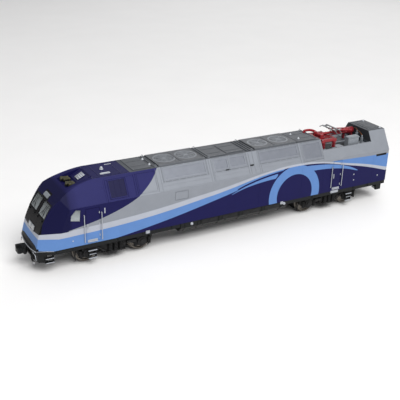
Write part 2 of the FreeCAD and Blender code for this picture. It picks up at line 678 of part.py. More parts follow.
def side_frames():
    """Cast-look truck side with axle boxes, coil springs, brake cylinder and damper."""
    y0, y1 = 11.3, 13.0
    outline = [(-22.6, 9.2), (-22.0, 10.6), (-12.0, 10.9), (-8.0, 11.4), (8.0, 11.4), (12.0, 10.9),
               (22.0, 10.6), (22.6, 9.2), (21.4, 6.2), (18.8, 4.6), (13.4, 4.6), (11.0, 6.6),
               (7.5, 8.0), (5.0, 5.2), (-5.0, 5.2), (-7.5, 8.0), (-11.0, 6.6), (-13.4, 4.6),
               (-18.8, 4.6), (-21.4, 6.2)]
    frame = prism_xz(outline, y0, y1)
    solids = [frame]
    for x in (-HALF_BASE, HALF_BASE):
        solids.append(disc(x, 13.4, FLANGE_R, 2.7, 0.6))
        solids.append(disc(x, 14.1, FLANGE_R, 1.5, 0.4))
        solids.append(box(x - 3.3, x + 3.3, 12.9, 13.7, 9.0, 10.0))
        for dx in (-4.2, 4.2):
            solids.append(disc(x + dx, 13.5, 7.2, 0.7, 2.1, Z_AXIS))
            for i in range(5):
                solids.append(disc(x + dx, 13.5, 5.4 + 0.85 * i, 1.0, 0.2, Z_AXIS))
    for x in (-3.2, 0.0, 3.2):
        solids.append(disc(x, 13.6, 8.2, 0.9, 2.6, Z_AXIS))
        for i in range(6):
            solids.append(disc(x, 13.6, 5.9 + 0.9 * i, 1.3, 0.22, Z_AXIS))
    solids.append(box(-5.4, 5.4, 12.9, 14.6, 5.0, 5.7))
    solids.append(box(-5.4, 5.4, 12.9, 14.6, 10.7, 11.3))
    solids.append(rod(V(6.0, 13.6, 6.0), V(11.2, 13.6, 10.3), 0.45))
    solids.append(rod(V(-11.4, 13.6, 8.8), V(-6.6, 13.6, 8.8), 1.0))
    side = join(solids)
    bores = [disc(x, 12.0, FLANGE_R, 1.8, 0.8) for x in (-HALF_BASE, HALF_BASE)]
    bores += [disc(x, 11.5, FLANGE_R, STUB_R + 0.25, 1.4) for x in (-HALF_BASE, HALF_BASE)]
    side = side.cut(bores)
    return side


def truck_sides():
    """Both sides; the outer end of the frame carries the cab steps."""
    left = side_frames()
    step = join([box(11.7, 16.6, 14.6, 16.2, 9.2, 9.6), box(11.7, 16.6, 14.6, 14.9, 9.2, 11.3),
                 box(11.7, 16.6, 12.9, 14.9, 10.2, 11.3)])
    left = join([left, step])
    return [left, mirror_y(left)]


# --- roof ---
def roof_hatch(x0, x1, half, fans, radius):
    base = 47.9
    top = 48.7
    bevel = 0.5
    outline = [(-half, base), (-half + bevel, top), (half - bevel, top), (half, base)]
    hatch = prism_yz(outline, x0, x1)
    hatch = hatch.cut(box(x0 - 1, x1 + 1, -20, 20, 47, ROOF_Z))
    for x in fans:
        hatch = hatch.cut(disc(x, 0, 48, radius, 2, Z_AXIS))
    return hatch


FRONT_FANS = (38.0, 24.2)
REAR_FANS = (-25.1, -40.1)
FRONT_FAN_R = 6.6
REAR_FAN_R = 6.3
HATCH_HALF = 9.4


def fan_grille(x, radius):
    """Ringed wire guard with spokes, a rim and a hub plate."""
    low, high = 48.42, 48.68
    rim = radius - FIT
    steps = 8
    pitch = rim / steps
    wire = 0.2
    rings = []
    for i in range(1, steps + 1):
        outer = pitch * i
        inner = outer - (0.7 if i == steps else 2 * wire)
        ring = Part.makeCylinder(outer, high - low, V(x, 0, low))
        rings.append(ring.cut(Part.makeCylinder(inner, 2, V(x, 0, low - 1))))
    hub = Part.makeCylinder(1.0, high - low, V(x, 0, low))
    spokes = []
    for i in range(8):
        spoke = box(x, x + radius - 0.3, -wire, wire, low, high - 0.05)
        spoke.rotate(V(x, 0, 0), Z_AXIS, 45 * i)
        spokes.append(spoke)
    return join([hub] + rings + spokes)


def cooling_fan(x, radius):
    hub = Part.makeCylinder(1.5, 0.36, V(x, 0, ROOF_Z))
    blades = []
    for i in range(6):
        blade = prism_xy([(x + 1, -0.5), (x + radius - 0.3, -1.7), (x + radius - 0.3, 0.9), (x + 1, 0.6)],
                         ROOF_Z, ROOF_Z + 0.22)
        blade.rotate(V(x, 0, 0), Z_AXIS, 60 * i)
        blades.append(blade)
    return join([hub] + blades)


def all_fans(make):
    parts = [make(x, FRONT_FAN_R) for x in FRONT_FANS]
    parts += [make(x, REAR_FAN_R) for x in REAR_FANS]
    return parts


def roof_panels():
    """Bolted cover plates and ribs on the flat roof."""
    plates = []
    for x0, x1, half in ((2.0, 13.4, 8.6), (-10.4, 0.8, 7.2), (-62.4, -49.4, 8.4), (50.2, 61.0, 8.4)):
        plates.append(box(x0, x1, -half, half, ROOF_Z, ROOF_Z + 0.3))
    for x in (14.9, -12.2, -14.2, -16.2, 48.2, -48.4):
        plates.append(box(x - 0.35, x + 0.35, -9.2, 9.2, ROOF_Z, ROOF_Z + 0.45))
    return plates


def cab_roof_hatch():
    """Framed panel with a square grid, lying on the falling side of the horn recess."""
    back, foot, front = HORN_WELL_X
    length = math.hypot(foot - back, ROOF_Z - HORN_FLOOR_Z)
    fall = math.degrees(math.atan2(ROOF_Z - HORN_FLOOR_Z, foot - back))
    frame = box(0.3, length - 0.9, -6.6, 6.6, 0, 0.55).cut(box(0.9, length - 1.5, -5.9, 5.9, -1, 1))
    plate = box(0.85, length - 1.45, -5.95, 5.95, 0, 0.2)
    grid = [box(2.3, 6.6, y - 0.22, y + 0.22, 0.1, 0.6) for y in (-2.1, -0.7, 0.7, 2.1)]
    grid += [box(x - 0.22, x + 0.22, -2.3, 2.3, 0.1, 0.6) for x in (2.5, 3.8, 5.1, 6.4)]
    hatch = join([frame, plate] + grid)
    hatch.rotate(V(0, 0, 0), Y_AXIS, fall)
    return moved(hatch, back, 0, ROOF_Z)


def horns():
    """Two clusters of three trumpets on the floor of the horn recess."""
    clusters = []
    throat_x = 93.4
    line_z = HORN_FLOOR_Z + 0.9
    pitch = 1.7
    for middle in (-3.9, 3.9):
        bracket = box(throat_x - 0.8, throat_x + 0.2, middle - 2.4, middle + 2.4,
                      HORN_FLOOR_Z - 0.07, line_z + 0.3)
        parts = [bracket]
        for i, length in enumerate((3.6, 4.3, 3.2)):
            y = middle + pitch * (i - 1)
            parts.append(Part.makeCone(0.4, 0.95, length, V(throat_x, y, line_z), X_AXIS))
            parts.append(disc(throat_x, y, line_z, 0.6, 0.5, X_AXIS))
        clusters.append(join(parts))
    return clusters


def grab_irons():
    """Wire hand rails beside the doors, on the nose and on the rear end."""
    irons = []
    wire = 0.22
    for x, z0, z1 in ((92.9, 15.6, 31.6), (83.1, 15.6, 31.6), (-71.6, 16.9, 31.1), (-80.0, 16.9, 31.1)):
        y = HALF_WIDTH + 0.55
        rail = rod(V(x, y, z0), V(x, y, z1), wire)
        feet = [rod(V(x, HALF_WIDTH - 0.2, z), V(x, y, z), wire) for z in (z0 + 0.2, z1 - 0.2)]
        irons.append(join([rail] + feet))
    irons = both_sides(irons)
    for y in (-5.0, 5.0):
        x = REAR_X - 0.55
        rail = rod(V(x, y, 16.5), V(x, y, 30.0), wire)
        feet = [rod(V(REAR_X + 0.2, y, z), V(x, y, z), wire) for z in (16.8, 29.7)]
        irons.append(join([rail] + feet))
    return irons


# --- pantograph ---
def pantograph_base():
    """Four-bar frame on the insulators with two pivot blocks in its middle."""
    x0, x1, half = -79.8, -69.9, 7.1
    z0, z1 = 44.3, 45.9
    thick = 0.75
    bars = []
    for y in (-half, half):
        bars.append(box(x0 - thick, x1 + thick, y - thick, y + thick, z0, z1))
    for x in (x0, x1):
        bars.append(box(x - thick, x + thick, -half, half, z0, z1))
    pivot = 1.1
    for y in (-3.2, 3.2):
        bars.append(box(x0, x1, y - 0.5, y + 0.5, z0 + 0.3, z1))
        bars.append(box(PANTO_PIVOT.x - pivot, PANTO_PIVOT.x + pivot, y - 0.5, y + 0.5,
                        z1 - 0.1, PANTO_PIVOT.z + pivot))
    frame = join(bars)
    bore = disc(PANTO_PIVOT.x, 0, PANTO_PIVOT.z, PANTO_SHAFT_R + FIT, 5)
    return frame.cut(bore)


def pantograph_insulators():
    posts = []
    top = 44.3
    for x in (-79.0, -70.7):
        for y in (-7.1, 7.1):
            post = [disc(x, y, (WELL_FLOOR_Z + top) / 2, 0.85, (top - WELL_FLOOR_Z) / 2, Z_AXIS)]
            for i in range(4):
                post.append(disc(x, y, WELL_FLOOR_Z + 0.9 + 1.0 * i, 1.35, 0.22, Z_AXIS))
            posts.append(join(post))
    return posts


def pantograph_lower_arm():
    tube = rod(PANTO_PIVOT, PANTO_KNEE, 0.8)
    shaft = disc(PANTO_PIVOT.x, 0, PANTO_PIVOT.z, PANTO_SHAFT_R, 3.7)
    boss = disc(PANTO_PIVOT.x, 0, PANTO_PIVOT.z, 1.05, 1.4)
    knee = disc(PANTO_KNEE.x, 0, PANTO_KNEE.z, 0.95, 1.5)
    arm = join([tube, shaft, boss, knee])
    return arm.cut(disc(PANTO_KNEE.x, 0, PANTO_KNEE.z, KNEE_PIN_R + FIT, 4))


def pantograph_upper_arm():
    bars = [disc(PANTO_KNEE.x, 0, PANTO_KNEE.z, KNEE_PIN_R, 2.5)]
    for side in (-1, 1):
        start = V(PANTO_KNEE.x, 2.4 * side, PANTO_KNEE.z)
        end = V(PANTO_HEAD.x, 1.7 * side, PANTO_HEAD.z)
        bars.append(rod(start, end, 0.4))
        bars.append(disc(start.x, start.y, start.z, 0.65, 0.45))
        bars.append(disc(end.x, end.y, end.z, 0.55, 0.4))
    middle = PANTO_KNEE + (PANTO_HEAD - PANTO_KNEE) * 0.7
    bars.append(disc(middle.x, 0, middle.z, 0.22, 1.8))
    arm = join(bars)
    return arm.cut(disc(PANTO_HEAD.x, 0, PANTO_HEAD.z, HEAD_BAR_R + FIT, 3))


def pantograph_control_rod():
    """Thin rod beside the lower arm; its pivot is a little off the arm's own."""
    y = 2.0
    start = PANTO_PIVOT + V(-0.7, y, -0.85)
    end = PANTO_KNEE + V(2.9, y, -0.85)
    bar = rod(start, end, 0.22)
    eye = disc(start.x, y, start.z, 0.42, 0.28)
    return join([bar, eye])


def pantograph_head():
    """Twin contact strips with drooping horns on a sprung cross bar."""
    x, z = PANTO_HEAD.x, PANTO_HEAD.z
    bars = [disc(x, 0, z, HEAD_BAR_R, 5.2)]
    for side in (-1, 1):
        y = 5.0 * side
        bars.append(rod(V(x - 2.2, y, z + 0.9), V(x + 2.2, y, z + 0.9), 0.3))
        bars.append(rod(V(x, y, z), V(x, y, z + 0.9), 0.3))
    for dx in (-1.7, 1.7):
        bars.append(box(x + dx - 0.45, x + dx + 0.45, -6.4, 6.4, z + 0.85, z + 1.4))
        for side in (-1, 1):
            knee = V(x + dx, 6.3 * side, z + 1.1)
            tip = V(x + dx, 9.0 * side, z - 0.5)
            bars.append(rod(knee, tip, 0.26))
    return join(bars)


def roof_breaker():
    """Ribbed circuit-breaker cylinder with a bushing, lying on two feet."""
    y, z = -5.0, 44.6
    parts = [rod(V(-103.8, y, z), V(-97.2, y, z), 1.8), rod(V(-98, y, z), V(-89.0, y, z), 0.9)]
    for i in range(5):
        parts.append(disc(-102.2 + 1.1 * i, y, z, 2.2, 0.25, X_AXIS))
    for i in range(6):
        parts.append(disc(-95.6 + 1.2 * i, y, z, 1.45, 0.22, X_AXIS))
    for x in (-103.5, -97.0):
        parts.append(disc(x, y, z, 2.1, 0.35, X_AXIS))
        parts.append(box(x - 0.5, x + 0.5, y - 0.9, y + 0.9, WELL_FLOOR_Z, z))
    return join(parts)


def roof_equipment():
    """Cabinet, arrester posts and small transformer in the pantograph well."""
    cabinet = box(-96.0, -87.6, 7.6, 11.2, WELL_FLOOR_Z, 46.2)
    lid = box(-96.3, -87.3, 7.3, 11.5, 45.4, 45.9)
    cabinet = join([cabinet, lid])
    posts = []
    for x, y, top in ((-101.4, 3.0, 46.9), (-84.2, -8.6, 44.2), (-90.5, -10.6, 44.2), (-101.0, 8.6, 45.2)):
        post = [disc(x, y, (WELL_FLOOR_Z + top) / 2, 0.45, (top - WELL_FLOOR_Z) / 2, Z_AXIS)]
        for i in range(int((top - WELL_FLOOR_Z - 1.2) / 0.9)):
            post.append(disc(x, y, WELL_FLOOR_Z + 0.9 + 0.9 * i, 0.9, 0.15, Z_AXIS))
        posts.append(join(post))
    return [cabinet] + posts


def bus_bar():
    """Curved high-voltage bar from the roof edge down to the pantograph base."""
    y, radius = -5.2, 0.8
    start = V(-64.2, y, 48.9)
    bend = V(-69.4, y, 48.75)
    end = V(-74.6, y, 46.3)
    arc = Part.Wire([Part.Arc(start, bend, end).toShape()])
    circle = Part.Wire([Part.makeCircle(radius, start, arc.Edges[0].tangentAt(arc.Edges[0].FirstParameter))])
    bar = arc.makePipeShell([circle], True, True)
    foot = disc(start.x, y, 48.3, 0.9, 0.35, Z_AXIS)
    return join([Part.Solid(bar) if bar.ShapeType != "Solid" else bar, foot])


def circuit_board():
    board = box(-54, 54, -6.5, 6.5, 30.0, 31.2)
    chips = [box(x, x + w, y, y + d, 31.1, 31.1 + h)
             for x, w, y, d, h in ((-40, 18, -5, 10, 2.4), (-12, 6, -4, 4, 1.4),
                                   (6, 5, 0, 5, 1.6), (24, 12, -5, 9, 2.2))]
    legs = [box(x - 0.8, x + 0.8, y - 0.8, y + 0.8, PLATE_Z1, 30.05) for x in (-50, 50) for y in (-5.7, 5.7)]
    return join([board] + chips + legs)


def speaker():
    basket = box(88.0, 106.0, -7.0, 7.0, PLATE_Z1, 23.4)
    cone = disc(97.0, 0, 23.4, 6.0, 0.8, Z_AXIS)
    dome = Part.makeSphere(2.2, V(97.0, 0, 21.6))
    return join([basket.cut(cone), dome.common(box(90, 105, -7, 7, 22.5, 25))])


# --- write every node ---
def place_truck(shape, front):
    if front:
        return moved(shape, TRUCK_X)
    return moved(half_turn(shape), -TRUCK_X)


def place_all(shapes, front):
    if not isinstance(shapes, list):
        shapes = [shapes]
    return [place_truck(shape, front) for shape in shapes]


def mirrored_end(shape, front):
    return shape if front else half_turn(shape)


os.makedirs("parts", exist_ok=True)

save("body_shell", body_shell())
save("side_grilles", side_grilles())
save("window_glass", window_glass())
save("headlight_lenses", headlight_lenses())
save("chassis_frame", chassis_frame())
save("body_screws", body_screws())
save("fuel_tank", fuel_tank())
save("underframe_rails", skirt())
save("front_pilot", pilot(True))
save("rear_pilot", half_turn(pilot(False)))
save("coupler_boxes", [coupler_box(), half_turn(coupler_box())])
save("circuit_board", circuit_board())
save("speaker", speaker())
save("roof_hatches", [roof_hatch(16.4, 45.8, HATCH_HALF, FRONT_FANS, FRONT_FAN_R),
                      roof_hatch(-47.6, -17.4, HATCH_HALF, REAR_FANS, REAR_FAN_R)])
save("fan_grilles", all_fans(fan_grille))
save("cooling_fans", all_fans(cooling_fan))
save("roof_panels", roof_panels() + [cab_roof_hatch()])
save("horns", horns())
save("grab_irons", grab_irons())
save("pantograph_base", pantograph_base())
save("pantograph_insulators", pantograph_insulators())
save("pantograph_lower_arm", pantograph_lower_arm())
save("pantograph_upper_arm", pantograph_upper_arm())
save("pantograph_control_rod", pantograph_control_rod())
save("pantograph_head", pantograph_head())
save("roof_breaker", roof_breaker())
save("roof_equipment", roof_equipment() + [bus_bar()])
save("motor_housing", motor_housing())
save("motor_rotor", motor_rotor())
save("flywheels", flywheels())

for end, is_front in (("front", True), ("rear", False)):
    save(end + "_universal_ball", mirrored_end(universal_ball(), is_front))
    save(end + "_drive_shaft", mirrored_end(drive_shaft(), is_front))
    save(end + "_coupler", mirrored_end(coupler(), is_front))
    save(end + "_knuckle", mirrored_end(knuckle(), is_front))
    save(end + "_truck_housing", place_all([truck_housing(), worm_cover()], is_front))
    save(end + "_gear_cover", place_all([gear_cover()], is_front))
    save(end + "_truck_sides", place_all(truck_sides(), is_front))
    save(end + "_axle_bearings", place_all(axle_bearings() + gear_pins(), is_front))
    save(end + "_pickup_strips", place_all(pickup_strips(), is_front))
    save(end + "_worm", place_all(worm(), is_front))
    save(end + "_centre_gear", place_all(centre_gear(), is_front))
    save(end + "_outer_idler", place_all(idler(1)[0], is_front))
    save(end + "_inner_idler", place_all(idler(-1)[0], is_front))
    save(end + "_outer_wheelset", place_all(wheelset(1), is_front))
    save(end + "_inner_wheelset", place_all(wheelset(-1), is_front))
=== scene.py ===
import math

import bmesh
import bpy
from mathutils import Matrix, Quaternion, Vector
from mathutils.bvhtree import BVHTree


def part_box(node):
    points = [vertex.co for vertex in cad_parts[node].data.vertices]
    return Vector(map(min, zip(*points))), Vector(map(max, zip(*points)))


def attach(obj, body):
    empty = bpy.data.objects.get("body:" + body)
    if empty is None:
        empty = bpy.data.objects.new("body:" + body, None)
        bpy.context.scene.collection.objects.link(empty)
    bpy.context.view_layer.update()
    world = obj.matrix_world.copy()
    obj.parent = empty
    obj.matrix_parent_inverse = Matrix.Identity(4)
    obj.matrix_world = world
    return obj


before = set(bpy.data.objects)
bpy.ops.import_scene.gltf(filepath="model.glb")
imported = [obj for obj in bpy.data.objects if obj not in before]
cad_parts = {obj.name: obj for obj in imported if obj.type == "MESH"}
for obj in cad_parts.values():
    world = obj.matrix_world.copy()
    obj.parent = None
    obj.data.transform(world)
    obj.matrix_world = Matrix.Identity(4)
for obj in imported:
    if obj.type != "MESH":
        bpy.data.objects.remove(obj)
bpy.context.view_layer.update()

# Lengths are millimetres in the CAD frame, +X towards the streamlined cab, +Y left, +Z up.
# Only the lights are placed in metres.
MM = 0.001

# --- places taken over from the CAD model ---
BODY_LOW, BODY_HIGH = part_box("body_shell")
HALF_WIDTH = BODY_HIGH.y / MM
ROOF_Z = BODY_HIGH.z / MM
REAR_X = BODY_LOW.x / MM
BELT_Z = 35.95
ROOF_HALF = 10.0
WELL_X0, WELL_X1 = -104.7, -65.7
WELL_FLOOR_Z = 39.65
WELL_LIP_Z = 41.65
TRUCK_X = 74.2
HALF_BASE = 16.1
AXLE_Z = 7.05


# --- camera, light, floor ---
def make_camera():
    """Camera at the viewing angle: azimuth from +X, elevation, distance and a slight roll."""
    azimuth, elevation, roll = math.radians(59.88), math.radians(23.80), math.radians(1.70)
    distance = 406.5 * MM
    target = Vector((23.4, 16.95, 26.7)) * MM
    outwards = Vector((
        math.cos(elevation) * math.cos(azimuth),
        math.cos(elevation) * math.sin(azimuth),
        math.sin(elevation),
    ))
    data = bpy.data.cameras.new("camera")
    data.sensor_width = 36.0
    data.lens = 64.5
    data.clip_start = 0.01
    data.clip_end = 50.0
    camera = bpy.data.objects.new("camera", data)
    bpy.context.scene.collection.objects.link(camera)
    camera.location = target + outwards * distance
    aim = (-outwards).to_track_quat("-Z", "Y")
    camera.rotation_mode = "QUATERNION"
    camera.rotation_quaternion = aim @ Quaternion((0, 0, 1), roll)
    bpy.context.scene.camera = camera


def area_light(name, place, aim, size, power, colour=(1, 1, 1)):
    data = bpy.data.lights.new(name, "AREA")
    data.shape = "RECTANGLE"
    data.size, data.size_y = size
    data.energy = power
    data.color = colour
    light = bpy.data.objects.new(name, data)
    bpy.context.scene.collection.objects.link(light)
    light.location = Vector(place)
    light.rotation_mode = "QUATERNION"
    light.rotation_quaternion = (Vector(aim) - Vector(place)).to_track_quat("-Z", "Y")


def make_lights():
    bpy.context.scene.view_settings.view_transform = "Standard"
    area_light("key_left", (0.05, 0.85, 1.0), (0, 0, 0.02), (1.1, 0.7), 17.0)
    area_light("top_soft", (-0.2, 0.0, 1.2), (0, 0, 0), (1.2, 0.9), 2.5)
    area_light("front_fill", (1.1, 0.35, 0.35), (0.1, 0, 0.02), (0.5, 0.4), 0.25)
    area_light("back_fill", (-0.7, -0.8, 0.6), (0, 0, 0.02), (0.8, 0.6), 2.0)
    world = bpy.data.worlds.new("studio")
    bpy.context.scene.world = world
    world.use_nodes = True
    background = world.node_tree.nodes["Background"]
    background.inputs["Color"].default_value = (0.93, 0.94, 0.96, 1)
    background.inputs["Strength"].default_value = 0.33


# --- shader helpers ---
class Graph:
    """Small builder for one procedural material."""

    def __init__(self, name):
        self.material = bpy.data.materials.new(name)
        self.material.use_nodes = True
        self.tree = self.material.node_tree
        self.shader = self.tree.nodes["Principled BSDF"]

    def node(self, kind, inputs=None, **settings):
        """New node, with its settings, and with inputs that are values or linked sockets."""
        made = self.tree.nodes.new(kind)
        for key, value in settings.items():
            setattr(made, key, value)
        for key, value in (inputs or {}).items():
            self.link(value, made.inputs[key])
        return made

    def link(self, value, socket):
        if isinstance(value, bpy.types.NodeSocket):
            self.tree.links.new(value, socket)
        else:
            socket.default_value = value

    def put(self, name, value):
        """Sets one input of the shader, or links it where value is a socket."""
        self.link(value, self.shader.inputs[name])

    def math(self, operation, first, second=0.0, third=None, clamp=False):
        inputs = {0: first, 1: second}
        if third is not None:
            inputs[2] = third
        return self.node("ShaderNodeMath", inputs, operation=operation, use_clamp=clamp).outputs[0]

    def place(self):
        """Object position in millimetres, as x, y and z sockets."""
        coordinate = self.node("ShaderNodeTexCoord")
        inputs = {0: coordinate.outputs["Object"], "Scale": 1 / MM}
        self.vector = self.node("ShaderNodeVectorMath", inputs, operation="SCALE").outputs[0]
        split = self.node("ShaderNodeSeparateXYZ", {0: self.vector})
        return split.outputs[0], split.outputs[1], split.outputs[2]

    def above(self, value, edge, soft=0.08):
        """1 where value is over edge, with a narrow soft border."""
        return self.math("MULTIPLY_ADD", self.math("SUBTRACT", value, edge), 1 / soft, 0.5, clamp=True)

    def below(self, value, edge, soft=0.08):
        return self.math("SUBTRACT", 1.0, self.above(value, edge, soft))

    def both(self, *masks):
        result = masks[0]
        for mask in masks[1:]:
            result = self.math("MULTIPLY", result, mask)
        return result

    def either(self, *masks):
        result = masks[0]
        for mask in masks[1:]:
            result = self.math("MAXIMUM", result, mask)
        return result

    def mix(self, factor, under, over):
        inputs = {0: factor, 6: colour(under), 7: colour(over)}
        return self.node("ShaderNodeMix", inputs, data_type="RGBA").outputs[2]

    def noise(self, scale, detail=3.0, rough=0.5):
        inputs = {"Vector": self.vector, "Scale": scale, "Detail": detail, "Roughness": rough}
        return self.node("ShaderNodeTexNoise", inputs).outputs["Fac"]

    def spread(self, value, low, high, from_low=0.3, from_high=0.7):
        """Maps a range of value to the range from low to high."""
        inputs = {"Value": value, "From Min": from_low, "From Max": from_high, "To Min": low, "To Max": high}
        return self.node("ShaderNodeMapRange", inputs).outputs["Result"]

    def tone(self, base, value, amount):
        """Lightens and darkens a colour a little by a noise value."""
        inputs = {"Color": colour(base), "Value": self.spread(value, 1 - amount, 1 + amount)}
        return self.node("ShaderNodeHueSaturation", inputs).outputs["Color"]

    def bump(self, height, strength, distance):
        inputs = {"Strength": strength, "Distance": distance * MM, "Height": height}
        self.put("Normal", self.node("ShaderNodeBump", inputs).outputs["Normal"])


def colour(code):
    """Linear RGBA of a #rrggbb code. A socket is passed through."""
    if not isinstance(code, str):
        return code
    parts = [int(code[i:i + 2], 16) / 255 for i in (1, 3, 5)]
    linear = [c / 12.92 if c <= 0.04045 else ((c + 0.055) / 1.055) ** 2.4 for c in parts]
    return (*linear, 1.0)


def surface(name, base, rough=(0.35, 0.45), tone=0.05, scale=0.6, metal=0.0, grain=0.02, coat=0.0,
            specular=0.5):
    """Painted, moulded or metal finish with slight colour, gloss and surface variation."""
    graph = Graph(name)
    graph.place()
    broad = graph.noise(scale, 4.0, 0.6)
    fine = graph.noise(scale * 9, 3.0, 0.55)
    graph.put("Base Color", graph.tone(base, broad, tone))
    graph.put("Roughness", graph.spread(fine, rough[0], rough[1]))
    graph.put("Metallic", metal)
    graph.put("Coat Weight", coat)
    graph.put("Coat Roughness", 0.2)
    graph.put("Specular IOR Level", specular)
    graph.bump(fine, 0.25, grain)
    return graph.material


def split_finish(name, behind, ahead, border_x, rough, grain):
    """Paint that changes colour at one place along the model, for nodes painted in two colours."""
    graph = Graph(name)
    x, _, _ = graph.place()
    broad = graph.noise(0.3, 4.0, 0.6)
    fine = graph.noise(4.0, 3.0, 0.55)
    paint = graph.mix(graph.above(x, border_x), behind, ahead)
    graph.put("Base Color", graph.tone(paint, broad, 0.07))
    graph.put("Roughness", graph.spread(fine, rough[0], rough[1]))
    graph.put("Specular IOR Level", 0.3)
    graph.bump(fine, 0.25, grain)
    return graph.material


def glass_material():
    """Smoked clear plastic of the window panes."""
    graph = Graph("window_glass")
    _, _, z = graph.place()
    film = graph.noise(0.35, 2.0)
    shade = graph.mix(graph.spread(z, 0.0, 1.0, 30.0, 38.0), "#a3a9ab", "#4c5152")
    graph.put("Base Color", graph.tone(shade, film, 0.12))
    graph.put("Roughness", graph.spread(film, 0.07, 0.16))
    graph.put("Alpha", 0.72)
    graph.put("IOR", 1.49)
    graph.bump(film, 0.1, 0.02)
    return graph.material


# --- livery ---
NAVY = "#181746"
# painted shade: a darker navy for the nose face, which turns away from the light
NAVY_NOSE_SHADE = "#0f0f36"
# painted sheen: a lighter navy for the cab's leaning side, standing in for the soft reflection of the light
# there
NAVY_SLOPE_SHEEN = "#262658"
LIGHT_BLUE = "#5c80b6"
STRIPE = "#a6aab4"
SILVER = "#878b92"
SILVER_ROOF = "#4e5156"
# painted shade: a darker grey for the recess walls above the lip, which lie in shadow
WELL_WALL_SHADE = "#3a3d41"
WELL_REAR = "#4b5056"
WELL_FRONT = "#26292a"
MASK_BLACK = "#0b0b0e"
HORN_X0, HORN_X1 = 83.5, 98.8
HORN_LOW_Z = 42.9
NAVY_BACK_X = 44.0
NAVY_ROOF_X = 63.2
NAVY_WHOLE_X = 101.5
NOSE_FACE_X = 103.0

CURVE_X = (-125.0, 125.0)
CURVE_Z = (0.0, 60.0)


def curve(graph, x, points):
    """Height or width of a livery band along the body, as a smooth curve through a few points."""
    made = graph.node("ShaderNodeFloatCurve")
    span = CURVE_X[1] - CURVE_X[0]
    rise = CURVE_Z[1] - CURVE_Z[0]
    line = made.mapping.curves[0]
    points = sorted(points)
    while len(line.points) < len(points):
        line.points.new(0.5, 0.5)
    for knot, (px, pz) in zip(line.points, points):
        knot.location = ((px - CURVE_X[0]) / span, (pz - CURVE_Z[0]) / rise)
        knot.handle_type = "AUTO"
    made.mapping.extend = "HORIZONTAL"
    made.mapping.update()
    share = graph.math("MULTIPLY_ADD", x, 1 / span, -CURVE_X[0] / span)
    graph.link(share, made.inputs["Value"])
    return graph.math("MULTIPLY", made.outputs[0], rise)


# (x, height) of a livery edge, or (x, width) of a band, at the few places where it bends
NAVY_EDGE = ((102.0, 24.0), (78.0, 29.0), (58.0, 38.0), (46.0, 50.0))
WHITE_LINE = ((-117.0, 22.5), (-88.0, 30.0), (-46.0, 36.5), (16.0, 29.0), (60.0, 24.0), (100.0, 22.3))
WHITE_WIDTH = ((-117.0, 2.3), (-46.0, 1.0), (36.0, 3.0), (100.0, 3.4))
BLUE_LOW = ((-17.0, 31.5), (16.0, 24.0), (54.0, 17.0), (86.0, 13.0))
TAIL_TOP = ((-35.0, 34.0), (-14.0, 31.0), (2.0, 26.0))
TAIL_WIDTH = ((-35.0, 3.2), (2.0, 0.3))
TAIL_GAP = 1.1
SWOOSH_TOP = ((-93.0, 25.5), (-79.0, 31.0), (-62.0, 34.0), (-41.0, 35.0))
SWOOSH_LOW = ((-93.0, 25.0), (-71.0, 30.0), (-51.0, 31.0))
WEDGE_TOP = ((-117.0, 33.0), (-78.0, 34.5))


